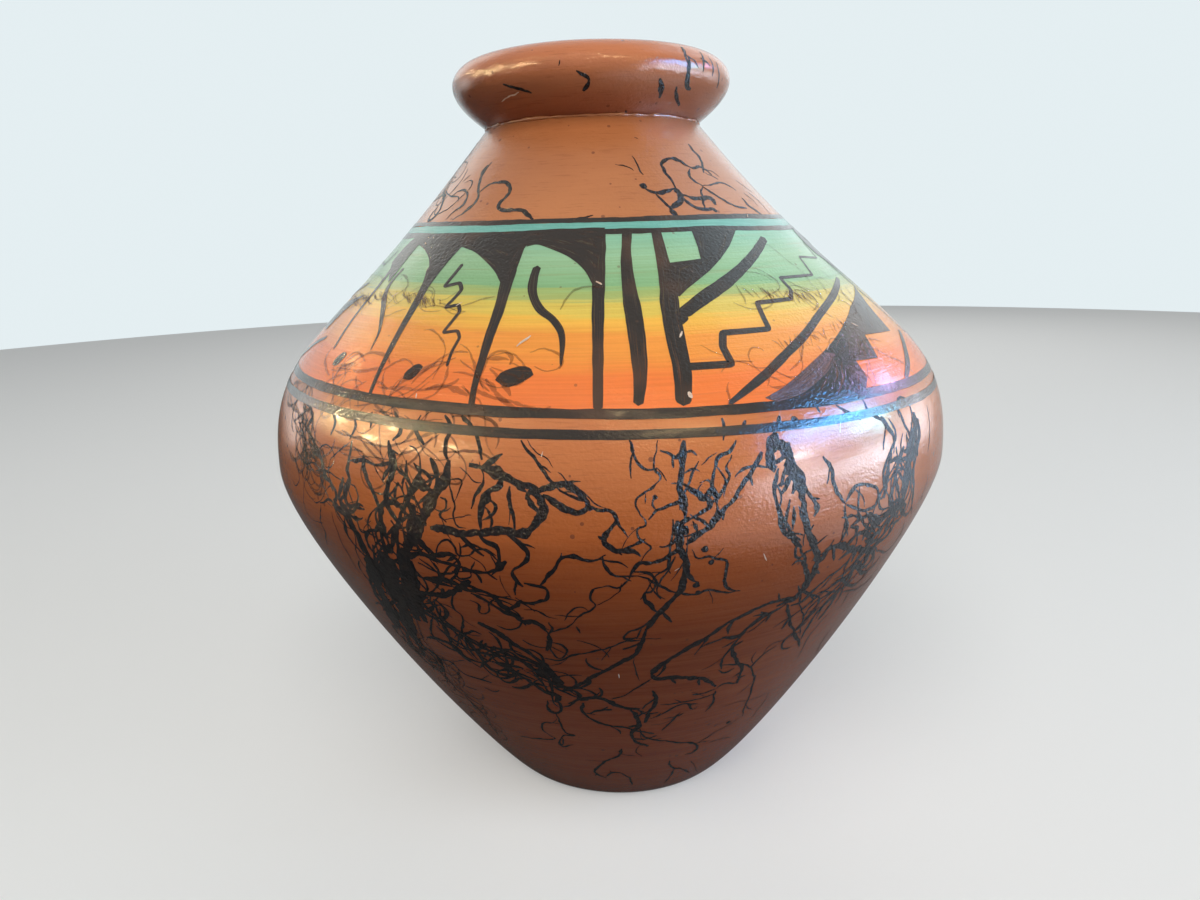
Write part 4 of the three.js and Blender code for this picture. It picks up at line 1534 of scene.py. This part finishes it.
leftTangles = [
    ([(398, 490), (396, 515), (392, 540), (388, 565)], 5, 9, (0.5, 1.1), (12, 40), 0.3),
    ([(374, 560), (382, 584), (395, 612), (410, 640)], 4, 36, (0.6, 1.6), (10, 34), 0.4),
    ([(392, 545), (404, 568), (414, 592), (422, 618)], 4, 16, (0.6, 1.6), (10, 30), 0.4),
    ([(300, 440), (320, 470), (340, 500), (355, 530), (372, 560)], 4, 6, (0.3, 0.6), (10, 40), 0.35),
]
middleTangles = [
    ([(425, 600), (460, 636), (510, 662), (555, 686)], 4.5, 40, (0.5, 1.5), (8, 26), 0.3),
    ([(430, 560), (460, 585), (490, 600)], 4, 12, (0.5, 1.1), (8, 26), 0.35),
    ([(684, 500), (682, 540), (672, 580)], 3, 5, (0.35, 0.7), (6, 18), 0.6),
]
rightTangles = [
    ([(905, 430), (905, 470), (895, 510)], 3, 14, (0.4, 1.1), (8, 30), 0.4),
    ([(895, 510), (870, 545), (845, 580), (815, 615)], 4.5, 26, (0.5, 1.2), (6, 20), 0.45),
    ([(775, 470), (790, 510), (808, 550), (800, 600)], 3, 10, (0.5, 1.2), (6, 18), 0.6),
]
fadedTangles = [  # marks that didn't take well, brown and half clear
    ([(412, 625), (438, 660), (464, 695), (490, 725)], 4, 44, (0.35, 0.8), (8, 24), 0.4),
    ([(300, 396), (303, 425), (308, 452)], 4, 40, (0.35, 1.0), (14, 36), 0.4),
    ([(340, 402), (400, 412), (460, 422)], 3, 24, (0.3, 0.8), (10, 26), 0.45),
    ([(330, 440), (390, 450), (450, 455)], 4, 18, (0.3, 0.8), (12, 30), 0.4),
]
coveredTangles = [  # under the thin paint of the band
    ([(345, 305), (400, 298), (455, 304)], 3.5, 22, (0.3, 0.55), (8, 26), 1.0),
    ([(330, 372), (390, 380), (450, 372), (500, 385)], 6, 46, (0.4, 1.0), (8, 26), 0.6),
    ([(745, 292), (800, 290), (850, 300)], 4, 16, (0.3, 0.55), (8, 26), 1.0),
    ([(720, 380), (770, 372), (820, 372), (880, 360)], 4, 18, (0.3, 0.6), (8, 30), 1.0),
]
backTangles = [  # the same, but with places in degrees and millimetres of height
    ([(92, 148), (96, 132), (103, 112), (110, 92), (112, 74)], 7, 34, (0.35, 1.2), (15, 75)),
    ([(128, 150), (133, 136), (141, 120), (146, 100), (140, 82)], 8, 42, (0.35, 1.5), (15, 65)),
    ([(141, 118), (155, 108), (170, 112), (186, 104)], 6, 18, (0.4, 1.2), (20, 60)),
    ([(176, 146), (180, 128), (188, 110), (200, 94), (205, 74), (198, 52)], 8, 52, (0.35, 1.6), (15, 65)),
    ([(205, 98), (222, 92), (238, 100), (252, 116), (256, 138)], 7, 36, (0.35, 1.4), (15, 60)),
    ([(112, 70), (130, 56), (150, 44), (176, 36)], 6, 30, (0.35, 1.2), (12, 50)),
    ([(212, 66), (230, 50), (250, 40)], 5, 18, (0.35, 0.9), (10, 40)),
    ([(262, 146), (266, 128), (272, 110), (280, 94)], 6, 26, (0.35, 1.1), (12, 50)),
    ([(84, 118), (80, 100), (76, 84), (70, 66)], 5, 18, (0.35, 0.9), (10, 40)),
]
backLook = {
    "halves": {"hairBackOne": (0, 2, 4, 8), "hairBackTwo": (1, 3, 5, 6, 7)},  # the tangles in each piece
    "restless": 0.8,
    "pull": 0.006,
    "neckDegrees": (118, 176, 232, 284),
    "bandDegrees": (110, 165, 210, 255),
    "rimCount": 16,
}


def scorchFront():
    dice = random.Random(11)
    left = newMarks()
    layDrawnHairs(left, hairLeft + hairLeftThick, dice, barbs=True)
    layDrawnHairs(left, sootMasses, dice)
    growTangles(left, leftTangles, dice)
    finishMarks("hairLeft", left, carbon)

    middle = newMarks()
    layDrawnHairs(middle, hairMiddleLeft + hairMiddle, dice, barbs=True, scale=0.9)
    growTangles(middle, middleTangles, dice)
    finishMarks("hairMiddle", middle, carbon)

    right = newMarks()
    layDrawnHairs(right, hairRight, dice, barbs=True, scale=1.1)
    growTangles(right, rightTangles, dice)
    finishMarks("hairRight", right, carbon)

    low = newMarks()
    layDrawnHairs(low, hairFoot, dice, barbs=True)
    finishMarks("hairFoot", low, carbon)

    high = newMarks()
    layDrawnHairs(high, hairNeck + hairBetweenLines, dice)
    layDrawnHairs(high, hairOnRim, dice, lifts["rimHair"], scale=1.3)
    for pixel, radius in sootBlots:
        layBlot(high, seenAt(pixel), radius * mm, lifts["blot"], dice.uniform(0, 50))
    finishMarks("hairNeckAndRim", high, carbon)

    faded = newMarks()
    growTangles(faded, fadedTangles, dice)
    finishMarks("fadedHair", faded, fadedCarbon)


def scorchBack():  # the unseen half is marked in the same way, with its own tangles
    dice = random.Random(23)
    restless, pull = backLook["restless"], backLook["pull"]
    for name, chosen in backLook["halves"].items():
        marks = newMarks()
        for places, halfWidth, count, widths, lengths in (backTangles[i] for i in chosen):
            spots = [(degrees, height * mm) for degrees, height in places]
            growTangle(marks, spots, halfWidth, count, widths, lengths, dice, restless, barbs=True, pull=pull)
        finishMarks(name, marks, carbon)
    marks = newMarks()
    for degrees in backLook["neckDegrees"]:
        spots = [(degrees, 219 * mm), (degrees + 9, 210 * mm), (degrees + 22, 203 * mm)]
        growTangle(marks, spots, 3, 9, (0.35, 1.1), (10, 34), dice, 0.9)
    for _ in range(backLook["rimCount"]):
        start = onPot(dice.uniform(70, 290), dice.uniform(232, 244) * mm)[0]
        heading = Vector((0, 0, dice.choice((-1, 1))))
        run = wanderingRun(start, heading, dice.uniform(3, 8) * mm, [start], 4 * mm, 1.0, dice)
        layHair(marks, dice.uniform(0.4, 0.9), run, dice, lifts["rimHair"], 0.5)
    finishMarks("hairBackNeckAndRim", marks, carbon)


def layFringe(marks, pixels, count, lean, dice):  # short hairs side by side, all leaning one way
    for _ in range(count):
        share = dice.random() * (len(pixels) - 1)
        k = int(share)
        x, y = (a + (b - a) * (share - k) for a, b in zip(pixels[k], pixels[k + 1]))
        long = dice.uniform(5, 15)
        tilt = lean + dice.uniform(-0.5, 0.5)
        course = [(x + s * long * tilt, y + s * long + dice.uniform(-1, 1)) for s in (-0.5, 0, 0.5)]
        layDrawnHairs(marks, [(dice.uniform(0.28, 0.55), course)], dice, lifts["over"])


def scorchUnderPaint():  # marks that the thin paint of the band half hides
    dice = random.Random(31)
    marks = newMarks()
    layDrawnHairs(marks, paintedOver, dice, lifts["over"])
    layFringe(marks, [(352, 300), (400, 297), (440, 303)], 46, 0.4, dice)
    layFringe(marks, [(742, 292), (790, 297), (852, 292)], 44, 0.9, dice)
    layFringe(marks, [(775, 345), (815, 338), (845, 322)], 26, 0.7, dice)
    growTangles(marks, coveredTangles, dice, lifts["over"])
    for degrees in backLook["bandDegrees"]:
        spots = [(degrees, 172 * mm), (degrees + 10, 162 * mm), (degrees + 20, 158 * mm)]
        growTangle(marks, spots, 5, 20, (0.3, 0.6), (8, 30), dice, lift=lifts["over"])
    finishMarks("paintedOverHair", marks, ghostCarbon)


scorchFront()
scorchBack()
scorchUnderPaint()
print("hair marks laid")

# Shallow pale nicks in the lacquer

nicks = {
    "drawn": [
        (0.5, [(596, 282), (599, 283), (602, 285)]),
        (0.5, [(517, 347), (524, 341), (531, 336)]),
        (0.5, [(679, 338), (682, 332)]),
        (0.6, [(688, 392), (692, 398)]),
        (0.4, [(502, 101), (510, 96), (519, 91)]),
    ],
    "strewn": 60,
    "dark": (0.62, 0.42, 0.30),
    "pale": (0.80, 0.66, 0.54),
    "depth": 0.15 * mm,
}


def paleNickLook():
    material, tree, shader = newMaterial("scratchedLacquer", roughness=0.55, coat=0.1)
    dust = noiseAt(tree, (900, 900, 900), 3)
    color = mixColors(tree, remap(tree, dust, 0.3, 0.7), nicks["dark"], nicks["pale"])
    tree.links.new(color, shader.inputs["Base Color"])
    addBump(tree, shader, dust, nicks["depth"])
    return material


def scratchLacquer():
    dice = random.Random(41)
    marks = newMarks()
    layDrawnHairs(marks, nicks["drawn"], dice, lifts["nick"])
    for _ in range(nicks["strewn"]):
        start = onPot(dice.uniform(0, 360), dice.uniform(70, 215) * mm)[0]
        heading = Vector([dice.uniform(-1, 1) for _ in range(3)]).normalized()
        run = wanderingRun(start, heading, dice.uniform(1.2, 4) * mm, [start], 9 * mm, 0.3, dice)
        layHair(marks, dice.uniform(0.15, 0.32), run, dice, lifts["nick"], 0.3)
    finishMarks("lacquerNicks", marks, paleNickLook())


scratchLacquer()
print("lacquer nicked")

# Room: a pale floor, three soft lights, and the window, walls and small warm lamps that the gloss mirrors

room = {
    "floorRadius": 1.75,
    "floorColor": (0.60, 0.61, 0.61),  # as the camera sees it
    "floorGlow": 0.45,
    # painted window light: in the gloss, and in the light it bounces onto the vase, the floor is lighter
    # towards the window side
    "floorInGloss": ((0.18, 0.18, 0.18), (0.85, 0.87, 0.90)),  # lighter on the window side
    "floorShade": ((0.09, 0.09, 0.09), (0.55, 0.55, 0.56)),  # as it lights the vase
    "walls": (0.78, 0.86, 0.885),
    "wallStrength": 0.16,  # as the walls light the vase
}


def buildFloorPlane():
    bm = bmesh.new()
    bmesh.ops.create_circle(bm, cap_ends=True, segments=96, radius=room["floorRadius"])
    mesh = bpy.data.meshes.new("studioFloor")
    bm.to_mesh(mesh)
    bm.free()
    material, tree, shader = newMaterial("studioFloor", roughness=0.75, coat=0.0, specular=0.0)
    path = newNode(tree, "ShaderNodeLightPath")
    coords = newNode(tree, "ShaderNodeTexCoord")
    across = newNode(tree, "ShaderNodeSeparateXYZ", {"Vector": coords.outputs["Object"]}).outputs["X"]
    # painted window light on the floor: lighter towards the window side, as the gloss and the bounce see it
    inGloss = mixColors(tree, remap(tree, across, -0.05, 0.55), *room["floorInGloss"])
    shade = mixColors(tree, remap(tree, across, 0.0, 0.6), *room["floorShade"])
    color = mixColors(tree, path.outputs["Is Glossy Ray"], shade, inGloss)
    color = mixColors(tree, path.outputs["Is Camera Ray"], color, room["floorColor"])
    tree.links.new(color, shader.inputs["Base Color"])
    shader.inputs["Emission Color"].default_value = (*room["floorColor"], 1)
    glow = mathNode(tree, "MULTIPLY", path.outputs["Is Camera Ray"], room["floorGlow"])
    tree.links.new(glow, shader.inputs["Emission Strength"])
    mesh.materials.append(material)
    floor = bpy.data.objects.new("studioFloor", mesh)
    bpy.context.scene.collection.objects.link(floor)


def paintWorld():
    world = bpy.data.worlds.new("studioWorld")
    world.use_nodes = True
    bpy.context.scene.world = world
    tree = world.node_tree
    background = tree.nodes["Background"]
    path = newNode(tree, "ShaderNodeLightPath")
    seen = mathNode(tree, "MAXIMUM", path.outputs["Is Camera Ray"], path.outputs["Is Glossy Ray"])
    strength = mathNode(tree, "MAXIMUM", seen, path.outputs["Is Transmission Ray"])
    background.inputs["Color"].default_value = (*room["walls"], 1)
    strength = mathNode(tree, "MAXIMUM", strength, room["wallStrength"])
    tree.links.new(strength, background.inputs["Strength"])


def placeLight(name, place, size, watts, color, mirrored, aimHeight=0.17):
    data = bpy.data.lights.new(name, "AREA")
    data.shape = "RECTANGLE"
    data.size, data.size_y = size
    data.energy = watts
    data.color = color
    lamp = bpy.data.objects.new(name, data)
    aim = (Vector((0, 0, aimHeight)) - Vector(place)).to_track_quat("-Z", "Y")
    lamp.matrix_world = Matrix.Translation(Vector(place)) @ aim.to_matrix().to_4x4()
    lamp.visible_camera = False
    lamp.visible_glossy, lamp.visible_diffuse = mirrored, not mirrored
    bpy.context.scene.collection.objects.link(lamp)


warm, cool = (1.0, 0.72, 0.36), (0.70, 0.84, 1.0)
softLights = [  # name, place, size, watts and colour
    ("keyLight", (-0.1, -0.95, 1.15), (1.1, 0.9), 16, (1.0, 0.96, 0.90)),
    ("windowLight", (1.1, -0.3, 0.34), (0.6, 0.6), 5.5, (0.74, 0.86, 1.0)),
    ("backLight", (0.3, 1.25, 0.9), (1.0, 0.8), 5, (1.0, 0.97, 0.93)),
]
mirroredLights = [  # seen only in the gloss: name, pixel that shows it, distance, size, watts and colour
    ("wallSheen", (740, 190), 1.3, (0.9, 0.9), 2.4, (0.9, 0.96, 1.0)),
    ("bandSheen", (780, 330), 1.3, (0.9, 0.8), 3.2, (0.55, 0.82, 1.0)),
    ("windowPane", (800, 455), 1.1, (0.12, 0.05), 4.5, (0.85, 0.93, 1.0)),
    ("windowBlue", (828, 423), 1.1, (0.75, 0.08), 26, (0.10, 0.44, 1.0)),
    ("windowLavender", (835, 437), 1.1, (0.6, 0.05), 5.5, (0.48, 0.62, 1.0)),
    ("windowCyan", (872, 421), 1.1, (0.22, 0.07), 5, (0.3, 0.9, 1.0)),
    ("windowPink", (884, 380), 1.1, (0.16, 0.14), 3, (0.7, 0.5, 1.0)),
    *((f"leftLamp{number}", pixel, 1.2, (0.045, 0.018), 5, warm) for number, pixel in enumerate(
        [(335, 417), (368, 437), (392, 428), (414, 449), (452, 448)])),
    ("frontLamp", (680, 430), 1.2, (0.5, 0.03), 4, warm),
    ("leftGlow", (480, 415), 1.2, (0.7, 0.07), 1.8, warm),
    ("leftWall", (296, 425), 1.1, (0.25, 0.6), 1.2, (1.0, 0.93, 0.86)),
    ("rightWall", (930, 430), 1.1, (0.5, 0.9), 0.6, (1.0, 0.86, 0.84)),
    ("lowHaze", (800, 560), 0.17, (0.4, 0.3), 0.6, (0.86, 0.93, 1.0)),
    ("neckLeft", (474, 165), 1.2, (0.5, 0.7), 1.2, (1.0, 0.97, 0.88)),
]
rimLights = [  # the same, aimed at the rim
    ("rimWindow", (675, 69), 1.0, (1.1, 0.10), 13, cool),
    ("rimSide", (708, 78), 1.0, (0.3, 0.5), 3.2, (0.86, 0.9, 1.0)),
    ("rimFront", (640, 84), 1.0, (1.2, 0.5), 11, (1.0, 0.93, 0.92)),
    *((f"rimLamp{number}", pixel, 1.0, (0.04, 0.02), 0.8, warm) for number, pixel in enumerate(
        [(470, 71), (495, 67), (518, 64), (594, 54)])),
]
for name, place, size, watts, color in softLights:
    placeLight(name, place, size, watts, color, mirrored=False)
for aimHeight, lights in ((0.17, mirroredLights), (0.24, rimLights)):
    for name, pixel, distance, size, watts, color in lights:
        placeLight(name, mirroredFrom(pixel, distance), size, watts, color, True, aimHeight)
buildFloorPlane()
paintWorld()
bpy.context.scene.view_settings.view_transform = "Standard"
print("room lit")

for piece in sorted(bpy.data.objects, key=lambda o: o.name):
    if piece.type == "MESH" and not piece.hide_render:
        faces = sum(len(p.vertices) - 2 for p in piece.data.polygons)
        print(f"{piece.name}: {faces} triangles")
